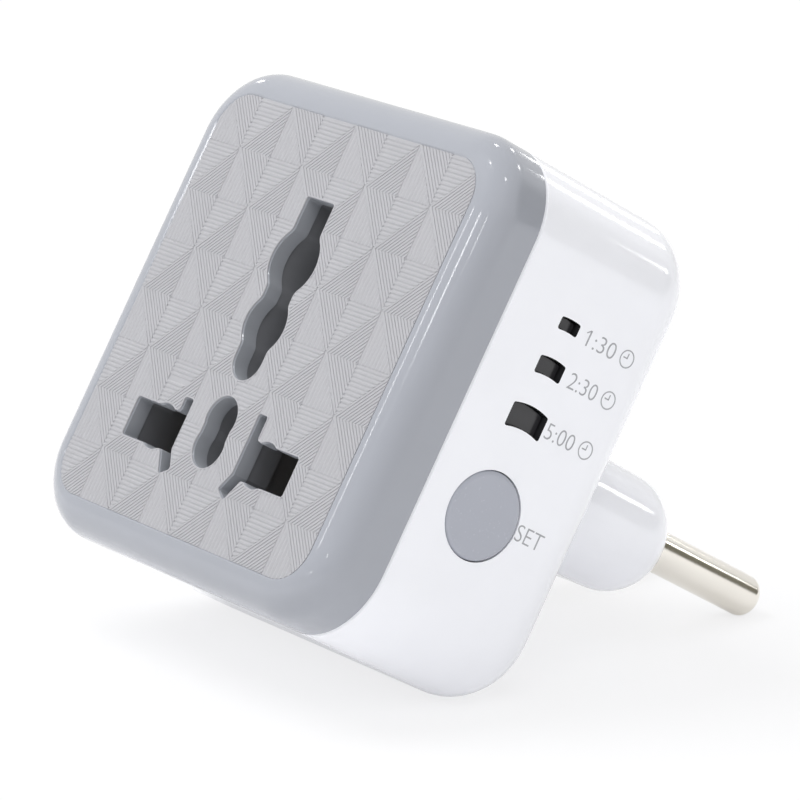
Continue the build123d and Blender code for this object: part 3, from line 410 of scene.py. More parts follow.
def report(piece: bpy.types.Object) -> None:
    """Reports a finished piece."""
    log.info("%s: %d faces", piece.name, len(piece.data.polygons))


def right_side() -> float:
    """Gives the x of the housing's right side."""
    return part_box("rear_housing")[1].x


# Pieces that stand for CAD nodes

@dataclass
class Shell:
    """A moulded half or other outer piece, shown as a clean smooth copy of its CAD node.

    Attributes:
        node: CAD node that it stands for.
        finish: Its finish.
        slot: Material slot of the record; not used.
        body: Body that it rides on.
        crease: Edges sharper than this stay sharp, in degrees.
        flat: Faces that look along an axis by more than this share stay flat up to their rounded edges.
    """

    node: str
    finish: Finish
    slot: Slot
    body: Body = Body.HOUSING
    crease: float = 28.0
    flat: float = 0.9998

    def shape(self, piece: bpy.types.Object) -> None:
        """Leaves the shape as it is; a piece with a finer shape changes it here."""

    def dress(self, piece: bpy.types.Object) -> None:
        """Gives the piece its finish; a piece with more finishes adds them here."""
        dress(piece, self.finish)

    def build(self) -> bpy.types.Object:
        """Copies the node, merges its loose triangles, shades it and dresses it.

        Returns:
            The piece.
        """
        piece = copy_of(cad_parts[self.node], f"{self.node}_shell")
        bpy.ops.object.mode_set(mode="EDIT")
        bpy.ops.mesh.select_all(action="SELECT")
        bpy.ops.mesh.customdata_custom_splitnormals_clear()
        bpy.ops.mesh.remove_doubles(threshold=MERGED)
        bpy.ops.mesh.normals_make_consistent(inside=False)
        bpy.ops.object.mode_set(mode="OBJECT")
        self.shape(piece)
        bpy.ops.object.shade_smooth_by_angle(angle=math.radians(self.crease))
        pick_faces(piece, lambda face: max(map(abs, face.normal)) > self.flat)
        bpy.ops.mesh.mod_weighted_strength(set=True, face_strength="STRONG")
        bpy.ops.object.mode_set(mode="OBJECT")
        apply_modifier(piece, "WEIGHTED_NORMAL", mode="CORNER_ANGLE", keep_sharp=True,
                       use_face_influence=True)
        self.dress(piece)
        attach(piece, self.body.value)
        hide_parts(self.node)
        report(piece)
        return piece


def in_field(normal: Vector, centre: Vector, level: float) -> bool:
    """Says whether a face of the cover looks to the front and lies on the field's level."""
    return normal.y < -FACING and abs(centre.y - level) < ON_LEVEL


@dataclass
class Cover(Shell):
    """The grey front half, whose sunk field and slots have a duller finish than its rim.

    Attributes:
        field_finish: Finish of the field.
        wall_finish: Finish of the slots' walls.
        wall: Depth of those walls.
        steep: Most that a wall looks to the front or the back, as a share of its normal.
        border: Share of the cover's width and height at each side in which no slot lies.
        raised: How far the field is shown above its CAD level, which leaves a softer border.
    """

    field_finish: Finish = FIELD_GREY
    wall_finish: Finish = SLOT_GREY
    wall: float = 3.0 * MM
    steep: float = 0.3
    border: float = 0.1
    raised: float = 0.08 * MM

    def shape(self, piece: bpy.types.Object) -> None:
        """Brings the field a little closer to the rim's level.

        Args:
            piece: The cover's mesh.
        """
        level = self.field_level(piece)
        pick_points(piece, lambda place: abs(place.y - level) < ON_LEVEL / 2)
        bpy.ops.transform.translate(value=(0, -self.raised, 0))
        bpy.ops.object.mode_set(mode="OBJECT")

    def field_level(self, piece: bpy.types.Object) -> float:
        """Finds the plane of the field: the widest flat area that looks to the front.

        Args:
            piece: The cover's mesh.

        Returns:
            The field's y.
        """
        areas: dict[float, float] = {}
        for face in piece.data.polygons:
            if face.normal.y < -FACING:
                level = round(face.center.y, 6)
                areas[level] = areas.get(level, 0.0) + face.area
        return max(areas, key=areas.get)

    def dress(self, piece: bpy.types.Object) -> None:
        """Gives the rim, the field and the slots' walls their finishes.

        Args:
            piece: The cover.
        """
        dress(piece, self.finish, self.field_finish, self.wall_finish)
        level = self.field_level(piece)
        low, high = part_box(self.node)
        border = self.border * (high - low)
        for face in piece.data.polygons:
            spot = face.center
            across = low.x + border.x < spot.x < high.x - border.x
            inside = across and low.z + border.z < spot.z < high.z - border.z
            if in_field(face.normal, spot, level):
                face.material_index = 1
            elif inside and abs(face.normal.y) < self.steep and level < spot.y < level + self.wall:
                face.material_index = 2


@dataclass
class Housing(Shell):
    """The white rear half, whose windows' white walls are painted dark as painted shade inside the windows.

    Attributes:
        painted_window_shade: Dark finish painted on the windows' walls as painted shade.
        reach: Half of the width and of the height around a lamp's middle in which its window lies.
        wall: Thickness of the side wall.
        steep: Most that a window's wall looks to the side, as a share of its normal.
    """

    # dark finish for the windows' white walls: painted shade inside the windows
    painted_window_shade: Finish = SMOKED
    reach: Spot = (4.0 * MM, 2.7 * MM)
    wall: float = 3.0 * MM
    steep: float = 0.5

    def dress(self, piece: bpy.types.Object) -> None:
        """Gives the half its finish and paints its windows' walls dark as painted shade.

        Args:
            piece: The housing.
        """
        dress(piece, self.finish, self.painted_window_shade)
        side = right_side()
        for name in ("top", "middle", "bottom"):
            low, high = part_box(f"indicator_led_{name}")
            middle = (low + high) / 2
            for face in piece.data.polygons:
                away = face.center - middle
                near = abs(away.y) < self.reach[0] and abs(away.z) < self.reach[1]
                # walls of each window take the dark finish: painted shade, not a real lining
                if near and abs(face.normal.x) < self.steep and face.center.x > side - self.wall:
                    face.material_index = 1


@dataclass
class Button(Shell):
    """The round button, shown with a narrower gap around its cap.

    Attributes:
        cap: Depth of the cap below the side wall.
        wider: What the cap's width is multiplied by.
    """

    cap: float = 1.2 * MM
    wider: float = 1.03

    def shape(self, piece: bpy.types.Object) -> None:
        """Widens the cap.

        Args:
            piece: The button's mesh.
        """
        low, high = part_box(self.node)
        side = right_side()
        pick_points(piece, lambda place: place.x > side - self.cap)
        bpy.ops.transform.resize(value=(1, self.wider, self.wider), center_override=(low + high) / 2)
        bpy.ops.object.mode_set(mode="OBJECT")


# Ridges and beads of the field

@dataclass(frozen=True)
class Hatching:
    """One set of parallel ridges.

    Attributes:
        turn: Their direction, in degrees up from x.
        count: Ridges along a length as high as a cell, or as wide where they stand upright.
        crest: Share of a ridge's width that is flat at its top.
    """

    turn: float
    count: float
    crest: float


@dataclass
class RidgeField:
    """Fine ridges on the cover's field: a chequer of cells, each cut in two triangles of ridges.

    Attributes:
        cover: The cover that carries them.
        level: The field's y.
        cells: Cells along each side of the field.
        level_set: Ridges that lie level.
        upright_set: Ridges that stand upright.
        rising_set: Ridges that rise to the right.
        falling_set: Ridges that fall to the right.
        height: Height of a ridge above the field.
        sunk: Foot of a ridge inside the field.
        width: Share of the pitch that a ridge takes.
        gap: Smooth gap on each side of a diagonal.
        spare: Reach of the blocks that cut the ridges, in heights and depths of a ridge.
        span: Length of a ridge before it is cut, in cells.
        step: Distance between the points that stand for the field's edges.
        finish: Finish of the ridges.
        low: The field's low corner.
        cell: Size of a cell.
        outline: Points along the edges of the field and its slots.
    """

    cover: bpy.types.Object
    level: float
    cells: int = 8
    level_set: Hatching = Hatching(0, 12.2, 0.35)
    upright_set: Hatching = Hatching(UPRIGHT, 9.6, 0.3)
    rising_set: Hatching = Hatching(45, 15, 0.6)
    falling_set: Hatching = Hatching(-45, 15, 0.85)
    height: float = 0.085 * MM
    sunk: float = 0.02 * MM
    width: float = 0.92
    gap: float = 0.002 * MM
    spare: float = 2.0
    span: float = 3.0
    step: float = 0.3 * MM
    finish: Finish = FIELD_GREY
    low: Vector = field(default_factory=Vector)
    cell: Vector = field(default_factory=Vector)
    outline: list[Vector] = field(default_factory=list)

    def measure(self) -> None:
        """Finds the field's low corner, the size of a cell and points along the field's edges."""
        mesh = self.cover.data
        faces = [face for face in mesh.polygons if in_field(face.normal, face.center, self.level)]
        points = [mesh.vertices[index].co for face in faces for index in face.vertices]
        self.low = Vector(map(min, *points))
        self.cell = (Vector(map(max, *points)) - self.low) / self.cells
        uses = Counter(key for face in faces for key in face.edge_keys)
        self.outline = []
        for first, last in (key for key, count in uses.items() if count == 1):
            start, end = mesh.vertices[first].co, mesh.vertices[last].co
            steps = 1 + int((end - start).length / self.step)
            self.outline += [start.lerp(end, step / steps) for step in range(steps)]

    def crossed(self, column: int, row: int) -> bool:
        """Says whether an edge of the field or of a slot runs through a cell.

        Args:
            column: The cell's column.
            row: The cell's row.

        Returns:
            True when the cell has to be cut.
        """
        low = self.low + Vector((column * self.cell.x, 0, row * self.cell.z))
        high = low + self.cell
        edge = self.gap / 2
        return any(low.x + edge < spot.x < high.x - edge and low.z + edge < spot.z < high.z - edge
                   for spot in self.outline)

    def blank(self) -> bpy.types.Object:
        """Makes the block that the ridges are cut to, as wide as the field and open at its slots.

        Returns:
            The block.
        """
        block = copy_of(self.cover, "field_block")
        pick_faces(block, lambda face: not in_field(face.normal, face.calc_center_median(), self.level))
        bpy.ops.mesh.delete(type="FACE")
        bpy.ops.mesh.select_all(action="SELECT")
        bpy.ops.transform.translate(value=(0, self.spare * self.sunk, 0))
        depth = -self.spare * self.sunk - self.spare * self.height
        bpy.ops.mesh.extrude_region_move(TRANSFORM_OT_translate={"value": (0, depth, 0)})
        bpy.ops.mesh.select_all(action="SELECT")
        bpy.ops.mesh.normals_make_consistent(inside=False)
        bpy.ops.object.mode_set(mode="OBJECT")
        return block

    def half_cell(self, start: Spot, end: Spot) -> bpy.types.Object:
        """Makes a block as large as half a cell.

        Args:
            start: Where its diagonal starts, in cell units.
            end: Where its diagonal ends; the half to the left of it, seen from the front, stays.

        Returns:
            The block, for the cell at the origin.
        """
        size = (self.cell.x - 2 * self.gap, 2 * self.spare * self.height, self.cell.z - 2 * self.gap)
        block = block_at((self.cell.x / 2, 0, self.cell.z / 2), size)
        corner = Vector((start[0] * self.cell.x, 0, start[1] * self.cell.z))
        along = Vector((end[0] * self.cell.x, 0, end[1] * self.cell.z)) - corner
        inward = Vector((-along.z, 0, along.x)).normalized()
        bpy.ops.object.mode_set(mode="EDIT")
        bpy.ops.mesh.select_all(action="SELECT")
        bpy.ops.mesh.bisect(plane_co=corner + inward * self.gap, plane_no=inward, use_fill=True,
                            clear_inner=True, clear_outer=False)
        bpy.ops.object.mode_set(mode="OBJECT")
        return block

    def hatch(self, hatching: Hatching, start: Spot, end: Spot) -> bpy.types.Object:
        """Fills half a cell with parallel ridges.

        Args:
            hatching: The set of ridges.
            start: Where the cell's diagonal starts, in cell units.
            end: Where it ends; the half to the left of it is filled.

        Returns:
            The ridges, for the cell at the origin.
        """
        pitch = (self.cell.x if hatching.turn == UPRIGHT else self.cell.z) / hatching.count
        reach = self.span * max(self.cell.x, self.cell.z)
        count = int(reach / 2 / pitch)
        size = (reach, self.height + self.sunk, self.width * pitch)
        bars = block_at((0, (self.sunk - self.height) / 2, 0), size)
        pick_faces(bars, lambda face: face.normal.y < -FACING)
        bpy.ops.transform.resize(value=(1, 1, hatching.crest))
        bpy.ops.object.mode_set(mode="OBJECT")
        apply_modifier(bars, "ARRAY", count=count, use_relative_offset=False, use_constant_offset=True,
                       constant_offset_displace=(0, 0, pitch))
        bars.data.transform(Matrix.Translation((0, 0, -pitch * (count - 1) / 2)))
        bars.rotation_euler = (0, -math.radians(hatching.turn), 0)
        bars.location = (self.cell.x / 2, 0, self.cell.z / 2)
        settle(bars)
        block = self.half_cell(start, end)
        apply_modifier(bars, "BOOLEAN", operation="INTERSECT", object=block, solver="EXACT")
        bpy.data.objects.remove(block)
        return bars

    def cell_of(self, rising: bool) -> bpy.types.Object:
        """Models one cell.

        Args:
            rising: True for a cell cut by a diagonal that rises to the right.

        Returns:
            The cell's ridges, with its low corner at the origin.
        """
        if rising:
            upper = self.hatch(self.level_set, (0, 0), (1, 1))
            lower = self.hatch(self.rising_set, (1, 1), (0, 0))
        else:
            upper = self.hatch(self.falling_set, (0, 1), (1, 0))
            lower = self.hatch(self.upright_set, (1, 0), (0, 1))
        return join([upper, lower], "cell_rising" if rising else "cell_falling")

    def copy_to(self, piece: bpy.types.Object, column: int, row: int) -> bpy.types.Object:
        """Copies a cell to its place on the field.

        Args:
            piece: Cell at the origin.
            column: Cells to the right of the field's low corner.
            row: Cells up from it.

        Returns:
            The copy.
        """
        select_only(piece)
        bpy.ops.object.duplicate()
        copy = bpy.context.active_object
        copy.location = (self.low.x + column * self.cell.x, self.level, self.low.z + row * self.cell.z)
        settle(copy)
        return copy

    def build(self) -> None:
        """Models both kinds of cell, repeats them over the field and cuts them to its outline."""
        self.measure()
        block = self.blank()
        kinds = [self.cell_of(True), self.cell_of(False)]
        whole, crossed = [], []
        for column in range(self.cells):
            for row in range(self.cells):
                copy = self.copy_to(kinds[(column + row) % 2], column, row)
                (crossed if self.crossed(column, row) else whole).append(copy)
        edge = join(crossed, "edge_ridges")
        apply_modifier(edge, "BOOLEAN", operation="INTERSECT", object=block, solver="EXACT",
                       use_self=True)
        piece = join([*whole, edge], "field_ridges")
        for scrap in (*kinds, block):
            bpy.data.objects.remove(scrap)
        dress(piece, self.finish)
        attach(piece, Body.HOUSING.value)
        report(piece)


@dataclass
class SlotEdges:
    """A fine rounded bead along the edges of the slots, where the ridges end.

    Attributes:
        ridges: The ridges, which know the cover and its field.
        radius: Radius of the bead.
        steps: Steps of its rounding.
        border: Width of the field's edge in which no slot lies.
        finish: Finish of the bead.
    """

    ridges: RidgeField
    radius: float = 0.1 * MM
    steps: int = 2
    border: float = 3.0 * MM
    finish: Finish = FIELD_GREY

    def outer(self, place: Vector) -> bool:
        """Says whether a point lies close to the field's outer edge.

        Args:
            place: The point.

        Returns:
            True when it is no point of a slot.
        """
        low = self.ridges.low
        high = low + self.ridges.cell * self.ridges.cells
        across = low.x + self.border < place.x < high.x - self.border
        return not (across and low.z + self.border < place.z < high.z - self.border)

    def build(self) -> None:
        """Takes the edges of the slots from the cover and rounds them."""
        level = self.ridges.level
        piece = copy_of(self.ridges.cover, "slot_edges")
        pick_faces(piece, lambda face: in_field(face.normal, face.calc_center_median(), level))
        bpy.ops.mesh.region_to_loop()
        bpy.ops.mesh.select_all(action="INVERT")
        bpy.ops.mesh.delete(type="EDGE")
        bpy.ops.object.mode_set(mode="OBJECT")
        pick_points(piece, self.outer)
        bpy.ops.mesh.delete(type="VERT")
        bpy.ops.object.mode_set(mode="OBJECT")
        piece.data.materials.clear()
        bpy.ops.object.convert(target="CURVE")
        piece = bpy.context.active_object
        piece.data.bevel_depth = self.radius
        piece.data.bevel_resolution = self.steps
        bpy.ops.object.convert(target="MESH")
        piece = bpy.context.active_object
        dress(piece, self.finish)
        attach(piece, Body.HOUSING.value)
        report(piece)


# Print on the right side

@dataclass
class SidePrint:
    """Charging times, clock signs and the button's word, printed on the right side.

    Attributes:
        times: What each lamp's time says.
        time_size: Width and height of a time.
        time_start: Left end of the times, from the button's middle.
        word: What the button's word says.
        word_size: Width and height of that word.
        word_start: Left end of the word, from the button's middle.
        shift: How far the times lie below their lamps, and the word above the button's middle.
        proud: Thickness of the print above the wall.
        sunk: Depth of its foot in the wall.
        thin: Share of the letters' size that their lines lose on each side.
        curve_steps: Steps of a letter's curves.
        stroke: Width of a sign's lines.
        clock: Radius of a clock sign.
        clock_middle: Middle of the clock signs, from the button's middle.
        clock_points: Corners of a clock sign's ring.
        hands: Lengths of its upright and its level hand, in radii.
        flag: Length of the flag of a figure one.
        slant: Slope of that flag, in degrees.
        finish: Finish of the print.
    """

    times: tuple[tuple[str, str], ...] = (("top", "1:30"), ("middle", "2:30"), ("bottom", "5:00"))
    time_size: Spot = (4.2 * MM, 1.75 * MM)
    time_start: float = 2.95 * MM
    word: str = "SET"
    word_size: Spot = (3.85 * MM, 1.8 * MM)
    word_start: float = 5.0 * MM
    shift: float = 0.15 * MM
    proud: float = 0.012 * MM
    sunk: float = 0.01 * MM
    thin: float = 0.012
    curve_steps: int = 6
    stroke: float = 0.14 * MM
    clock: float = 1.0 * MM
    clock_middle: float = 8.95 * MM
    clock_points: int = 48
    hands: Spot = (0.62, 0.54)
    flag: float = 0.62 * MM
    slant: float = 38.0
    finish: Finish = INK

    def letters(self, text: str, near: float, size: Spot, rise: float) -> bpy.types.Object:
        """Prints a word or a time on the right side, from letters one unit high and thick.

        Args:
            text: What it says.
            near: Its left end along y.
            size: Its width and height.
            rise: Its middle along z.

        Returns:
            The printed letters as a mesh.
        """
        bpy.ops.object.text_add(rotation=ONTO_SIDE)
        letters = bpy.context.active_object
        letters.data.body = text
        letters.data.size = 1.0
        letters.data.offset = -self.thin
        letters.data.resolution_u = self.curve_steps
        letters.data.extrude = 0.5
        bpy.ops.object.convert(target="MESH")
        letters = bpy.context.active_object
        settle(letters)
        self.fit(letters, near, size, rise)
        return letters

    def fit(self, piece: bpy.types.Object, near: float, size: Spot, rise: float) -> None:
        """Sizes a flat sign and sets it into the surface of the right side.

        Args:
            piece: The sign, flat across x.
            near: Its left end along y.
            size: Its width and height.
            rise: Its middle along z.
        """
        width, height = size
        points = [Vector(corner) for corner in piece.bound_box]
        low = Vector(map(min, *points))
        drawn = Vector(map(max, *points)) - low
        thick = self.proud + self.sunk
        piece.scale = (thick / drawn.x, width / drawn.y, height / drawn.z)
        start = Vector((low.x * piece.scale.x, low.y * piece.scale.y, low.z * piece.scale.z))
        piece.location = Vector((right_side() - self.sunk, near, rise - height / 2)) - start
        settle(piece)

    def sign(self, middle: float, rise: float) -> bpy.types.Object:
        """Models a clock sign: a ring with two hands.

        Args:
            middle: Its middle along y.
            rise: Its middle along z.

        Returns:
            The sign.
        """
        bpy.ops.mesh.primitive_circle_add(vertices=self.clock_points, radius=self.clock,
                                          fill_type="NGON", rotation=ONTO_SIDE)
        ring = bpy.context.active_object
        settle(ring)
        bpy.ops.object.mode_set(mode="EDIT")
        bpy.ops.mesh.select_all(action="SELECT")
        bpy.ops.mesh.inset(thickness=self.stroke)
        bpy.ops.mesh.delete(type="FACE")
        bpy.ops.mesh.select_all(action="SELECT")
        bpy.ops.mesh.extrude_region_move(TRANSFORM_OT_translate={"value": (self.clock, 0, 0)})
        bpy.ops.mesh.select_all(action="SELECT")
        bpy.ops.mesh.normals_make_consistent(inside=False)
        bpy.ops.object.mode_set(mode="OBJECT")
        upright, level = (self.clock * share for share in self.hands)
        half = self.stroke / 2
        hands = [
            block_at((self.clock / 2, 0, upright / 2), (self.clock, self.stroke, upright)),
            block_at((self.clock / 2, -level / 2 - half / 2, half), (self.clock, level, self.stroke)),
        ]
        sign = join([ring, *hands], "clock_sign")
        self.fit(sign, middle - self.clock, (2 * self.clock, 2 * self.clock), rise)
        return sign

    def flag_of_one(self, near: float, top: float) -> bpy.types.Object:
        """Models the short slanting stroke at the top of a figure one.

        Args:
            near: The figure's left end along y.
            top: Its top along z.

        Returns:
            The stroke.
        """
        slant = math.radians(self.slant)
        reach = self.flag / 2
        middle = (right_side() + (self.proud - self.sunk) / 2,
                  near + self.stroke / 2 - reach * math.cos(slant),
                  top - self.stroke / 2 - reach * math.sin(slant))
        return block_at(middle, (self.proud + self.sunk, self.flag, self.stroke), (slant, 0, 0))

    def build(self) -> None:
        """Prints each time beside its window, its clock sign, and the button's word."""
        parts = []
        low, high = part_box("set_button")
        button = (low + high) / 2
        start = button.y + self.time_start
        for name, text in self.times:
            low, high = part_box(f"indicator_led_{name}")
            rise = (low.z + high.z) / 2 - self.shift
            parts.append(self.letters(text, start, self.time_size, rise))
            parts.append(self.sign(button.y + self.clock_middle, rise))
            if text.startswith("1"):
                parts.append(self.flag_of_one(start, rise + self.time_size[1] / 2))
        start = button.y + self.word_start
        parts.append(self.letters(self.word, start, self.word_size, button.z + self.shift))
        piece = join(parts, "side_print")
        dress(piece, self.finish)
        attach(piece, Body.HOUSING.value)
        report(piece)


# Studio

@dataclass(frozen=True)
class Lamp:
    """A studio lamp, placed from the camera's own axes.

    Attributes:
        name: Its name.
        toward: Direction to it as shares of the camera's right, up and backward axes.
        size: Width and height.
        level: Brightness of its face, where 1 is white paper.
        away: Distance from the part.
        seen: Whether gloss mirrors it.
    """

    name: str
    toward: Triple
    size: Spot = (0.075, 0.075)
    level: float = 11.5
    away: float = 1.1
    seen: bool = True

    def power(self) -> float:
        """Gives the power in watts that its brightness takes."""
        return self.level * math.pi * self.size[0] * self.size[1]


@dataclass
class Studio:
    """The camera, the floor, the lamps and the world.

    Attributes:
        place: The camera's place.
        right: Direction to the image's right.
        forward: Direction that the camera looks in.
        focal: Focal length in millimetres.
        sensor: Width of the sensor in millimetres.
        clip: Nearest and farthest distance that the camera sees.
        steepest: Steepest slope tried for the floor, in degrees.
        tries: How often the range of slopes is halved.
        floor_size: Side of the floor.
        floor_tone: Colour of the floor in scene light.
        floor_rough: Roughness of the floor.
        floor_specular: Specular level of the floor.
        near_white: White of the floor close to the part.
        far_white: White of the floor farther away.
        veil: Share of plain white in the floor as the camera sees it.
        glow: Share of plain white in the floor as it lights the part.
        fade: Distances at which the floor starts to fade to white, and at which it is white.
        world: Brightness of the surroundings.
        mirrored: Brightness of the surroundings in gloss.
        dim_side: Direction, as shares of the camera's axes, in which the surroundings are dim.
        dim_range: Closeness to that direction at which they start to dim, and at which they are dim.
        dim_tone: Colour of the dim side.
        lamps: The lamps.
    """

    place: Triple = (0.42470, -0.36990, -0.03213)
    right: Triple = (0.5880317, 0.6943280, 0.4148823)
    forward: Triple = (-0.7799805, 0.6225626, 0.0636099)
    focal: float = 227.155
    sensor: float = 36.0
    clip: Spot = (0.01, 20.0)
    steepest: float = 60.0
    tries: int = 40
    floor_size: float = 6.0
    floor_tone: Triple = (0.93, 0.93, 0.935)
    floor_rough: float = 0.7
    floor_specular: float = 0.1
    near_white: Triple = (0.965, 0.965, 0.972)
    far_white: Triple = (1.02, 1.02, 1.02)
    veil: float = 0.75
    glow: float = 0.3
    fade: Spot = (0.08, 0.32)
    world: float = 0.60
    mirrored: float = 0.85
    dim_side: Triple = (0.98, 0.17, 0.0)
    dim_range: Spot = (0.87, 0.965)
    dim_tone: Triple = (0.18, 0.17, 0.13)
    lamps: tuple[Lamp, ...] = (
        Lamp("key_softbox", (-0.489, 0.845, 0.217), (0.6, 0.6), 6.0, seen=False),
        Lamp("fill_softbox", (0.157, 0.57, 0.81), (0.6, 0.6), 2.2, seen=False),
        Lamp("back_softbox", (0.60, 0.60, -0.50), (0.5, 0.5), 1.0, seen=False),
        Lamp("high_lamp_back", (0.11, 0.93, -0.35)),
        Lamp("high_lamp_back_right", (0.41, 0.69, -0.60)),
        Lamp("high_lamp_front", (-0.27, 0.94, 0.20)),
        Lamp("high_lamp_right", (0.67, 0.70, -0.24)),
        Lamp("high_lamp_front_right", (0.31, 0.81, 0.50)),
        Lamp("back_lamp_left", (0.38, 0.42, -0.82)),
        Lamp("back_lamp_right", (0.66, 0.50, -0.56)),
        Lamp("right_lamp", (0.92, 0.30, -0.24)),
        Lamp("far_left_lamp", (-0.38, 0.65, -0.66)),
        Lamp("front_left_lamp", (-0.58, 0.434, 0.684), (0.07, 0.07)),
        Lamp("front_lamp", (-0.244, 0.324, 0.914), (0.03, 0.03)),
        Lamp("low_front_lamp", (-0.53, 0.20, 0.82), (0.04, 0.04)),
        Lamp("low_left_lamp", (-0.82, 0.05, 0.57), (0.04, 0.04)),
        Lamp("left_strip", (-0.84, 0.473, 0.26), (0.03, 0.18)),
    )

    def axes(self) -> Matrix:
        """Finds the camera's axes.

        Returns:
            The right, up and backward axes as the columns of a matrix.
        """
        right = Vector(self.right).normalized()
        back = -Vector(self.forward).normalized()
        return Matrix((right, back.cross(right), back)).transposed()

    def camera(self) -> None:
        """Adds the camera at the photograph's viewing angle."""
        data = bpy.data.cameras.new("camera")
        data.lens = self.focal
        data.sensor_width = self.sensor
        data.clip_start, data.clip_end = self.clip
        camera = bpy.data.objects.new("camera", data)
        bpy.context.scene.collection.objects.link(camera)
        camera.matrix_world = Matrix.Translation(self.place) @ self.axes().to_4x4()
        bpy.context.scene.camera = camera

    def resting_tilt(self) -> Spot:
        """Finds how the part rests on its rear edge and its pin tips.

        Returns:
            The floor's slope in radians, and its height along its own upward direction.
        """
        body = [vertex.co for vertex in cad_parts["rear_housing"].data.vertices]
        pins = [vertex.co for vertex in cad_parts["plug_pin_live"].data.vertices]

        def lowest(points: list[Vector], slope: float) -> float:
            """Gives the lowest point along the floor's upward direction."""
            return min(point.z * math.cos(slope) - point.y * math.sin(slope) for point in points)

        flat, steep = 0.0, math.radians(self.steepest)
        for _ in range(self.tries):
            slope = (flat + steep) / 2
            if lowest(body, slope) < lowest(pins, slope):
                flat = slope
            else:
                steep = slope
        return slope, lowest(body, slope)

    def floor_material(self) -> bpy.types.Material:
        """Builds the floor's finish: pale, white farther away, and clear when seen from below.

        Returns:
            The material.
        """
        material = bpy.data.materials.new("floor_pale")
        material.use_nodes = True
        tree = material.node_tree
        shader = tree.nodes["Principled BSDF"]
        shader.inputs["Base Color"].default_value = (*self.floor_tone, 1)
        shader.inputs["Roughness"].default_value = self.floor_rough
        shader.inputs["Specular IOR Level"].default_value = self.floor_specular
        place = tree.nodes.new("ShaderNodeTexCoord")
        away = tree.nodes.new("ShaderNodeVectorMath")
        away.operation = "LENGTH"
        tones = tree.nodes.new("ShaderNodeValToRGB")
        whites = (self.near_white, self.far_white)
        for element, position, tone in zip(tones.color_ramp.elements, self.fade, whites):
            element.position = position
            element.color = (*tone, 1)
        white = tree.nodes.new("ShaderNodeEmission")
        path = tree.nodes.new("ShaderNodeLightPath")
        spread = tree.nodes.new("ShaderNodeMapRange")
        spread.inputs["From Min"].default_value = self.fade[0]
        spread.inputs["From Max"].default_value = self.fade[1]
        spread.inputs["To Min"].default_value = self.veil
        share = tree.nodes.new("ShaderNodeMix")
        share.inputs["A"].default_value = self.glow
        pale = tree.nodes.new("ShaderNodeMixShader")
        clear = tree.nodes.new("ShaderNodeBsdfTransparent")
        side = tree.nodes.new("ShaderNodeNewGeometry")
        mix = tree.nodes.new("ShaderNodeMixShader")
        tree.links.new(place.outputs["Object"], away.inputs[0])
        tree.links.new(away.outputs["Value"], tones.inputs["Fac"])
        tree.links.new(away.outputs["Value"], spread.inputs["Value"])
        tree.links.new(tones.outputs["Color"], white.inputs["Color"])
        tree.links.new(spread.outputs["Result"], share.inputs["B"])
        tree.links.new(path.outputs["Is Camera Ray"], share.inputs["Factor"])
        tree.links.new(share.outputs["Result"], pale.inputs["Fac"])
        tree.links.new(shader.outputs["BSDF"], pale.inputs[1])
        tree.links.new(white.outputs["Emission"], pale.inputs[2])
        tree.links.new(side.outputs["Backfacing"], mix.inputs["Fac"])
        tree.links.new(pale.outputs["Shader"], mix.inputs[1])
        tree.links.new(clear.outputs["BSDF"], mix.inputs[2])
        tree.links.new(mix.outputs["Shader"], tree.nodes["Material Output"].inputs["Surface"])
        return material

    def floor(self) -> None:
        """Lays a plain floor under the part."""
        slope, level = self.resting_tilt()
        up = Vector((0, -math.sin(slope), math.cos(slope)))
        bpy.ops.mesh.primitive_plane_add(size=self.floor_size, location=up * level,
                                         rotation=(slope, 0, 0))
        floor = bpy.context.active_object
        floor.name = "floor"
        floor.data.materials.append(self.floor_material())
        floor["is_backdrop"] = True

    def light(self) -> None:
        """Adds the lamps around the part."""
        low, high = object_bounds()
        middle = (low + high) / 2
        for lamp in self.lamps:
            data = bpy.data.lights.new(lamp.name, "AREA")
            data.shape = "RECTANGLE"
            data.size, data.size_y = lamp.size
            data.energy = lamp.power()
            light = bpy.data.objects.new(lamp.name, data)
            bpy.context.scene.collection.objects.link(light)
            toward = (self.axes() @ Vector(lamp.toward)).normalized()
            light.location = middle + toward * lamp.away
            light.rotation_euler = toward.to_track_quat("Z", "Y").to_euler()
            light.visible_glossy = lamp.seen

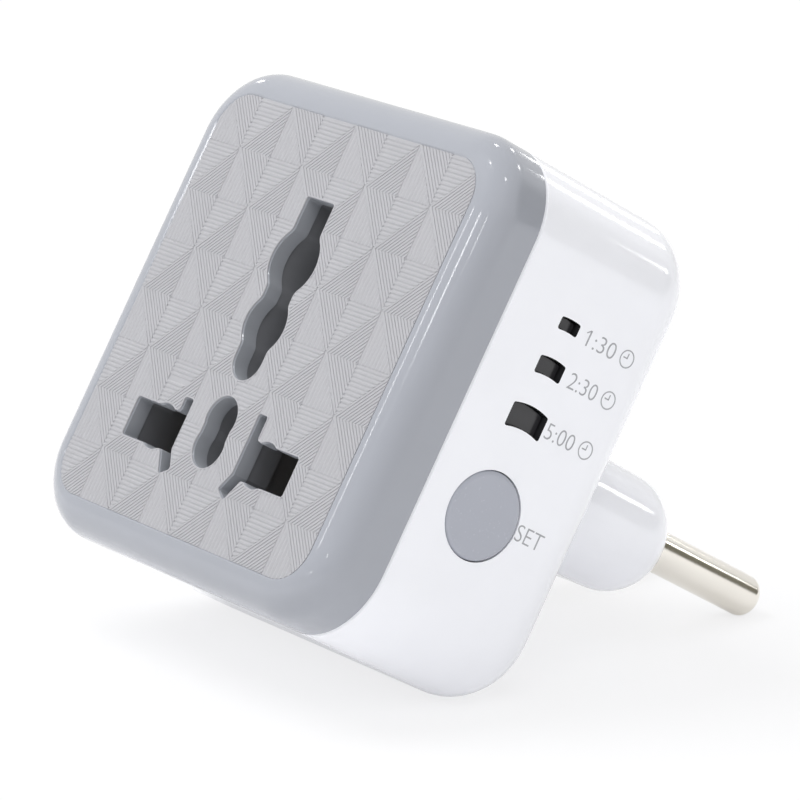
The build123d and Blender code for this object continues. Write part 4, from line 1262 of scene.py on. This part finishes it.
    def sky(self) -> None:
        """Sets an even world with one dim side, white where the camera looks past the floor."""
        world = bpy.data.worlds.new("studio")
        bpy.context.scene.world = world
        world.use_nodes = True
        tree = world.node_tree
        place = tree.nodes.new("ShaderNodeTexCoord")
        aim = tree.nodes.new("ShaderNodeVectorMath")
        aim.operation = "DOT_PRODUCT"
        aim.inputs[1].default_value = (self.axes() @ Vector(self.dim_side)).normalized()
        tones = tree.nodes.new("ShaderNodeValToRGB")
        ramp = ((1, 1, 1), self.dim_tone)
        for element, position, tone in zip(tones.color_ramp.elements, self.dim_range, ramp):
            element.position = position
            element.color = (*tone, 1)
        soft = tree.nodes["Background"]
        bright = tree.nodes.new("ShaderNodeMapRange")
        bright.inputs["To Min"].default_value = self.world
        bright.inputs["To Max"].default_value = self.mirrored
        white = tree.nodes.new("ShaderNodeBackground")
        white.inputs["Color"].default_value = (1, 1, 1, 1)
        white.inputs["Strength"].default_value = 1.0
        path = tree.nodes.new("ShaderNodeLightPath")
        mix = tree.nodes.new("ShaderNodeMixShader")
        tree.links.new(place.outputs["Generated"], aim.inputs[0])
        tree.links.new(aim.outputs["Value"], tones.inputs["Fac"])
        tree.links.new(tones.outputs["Color"], soft.inputs["Color"])
        tree.links.new(path.outputs["Is Glossy Ray"], bright.inputs["Value"])
        tree.links.new(bright.outputs["Result"], soft.inputs["Strength"])
        tree.links.new(path.outputs["Is Camera Ray"], mix.inputs["Fac"])
        tree.links.new(soft.outputs["Background"], mix.inputs[1])
        tree.links.new(white.outputs["Background"], mix.inputs[2])
        tree.links.new(mix.outputs["Shader"], tree.nodes["World Output"].inputs["Surface"])

    def build(self) -> None:
        """Sets up everything around the part."""
        self.camera()
        self.floor()
        self.light()
        self.sky()
        bpy.context.scene.view_settings.view_transform = "Standard"


# The whole part

def dress_nodes() -> None:
    """Gives every CAD node its finish."""
    for finish, nodes in FINISH_NODES.items():
        for node in nodes:
            dress(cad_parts[node], finish)
            log.info("%s: %s", node, finish.name)


def main() -> None:
    """Builds the looks piece by piece."""
    logging.basicConfig(level=logging.INFO, format="%(name)s %(message)s")
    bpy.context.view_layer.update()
    dress_nodes()
    cover = Cover("front_cover", RIM_GREY, Slot.COVER)
    cover_piece = cover.build()
    Housing("rear_housing", WHITE, Slot.HOUSING).build()
    Button("set_button", BUTTON_GREY, Slot.BUTTON, Body.BUTTON).build()
    for node in ("plug_pin_live", "plug_pin_neutral"):
        Shell(node, NICKEL, Slot.PIN, flat=2.0).build()
    ridges = RidgeField(cover_piece, cover.field_level(cover_piece))
    ridges.build()
    SlotEdges(ridges).build()
    SidePrint().build()
    Studio().build()


if __name__ == "__main__":
    main()
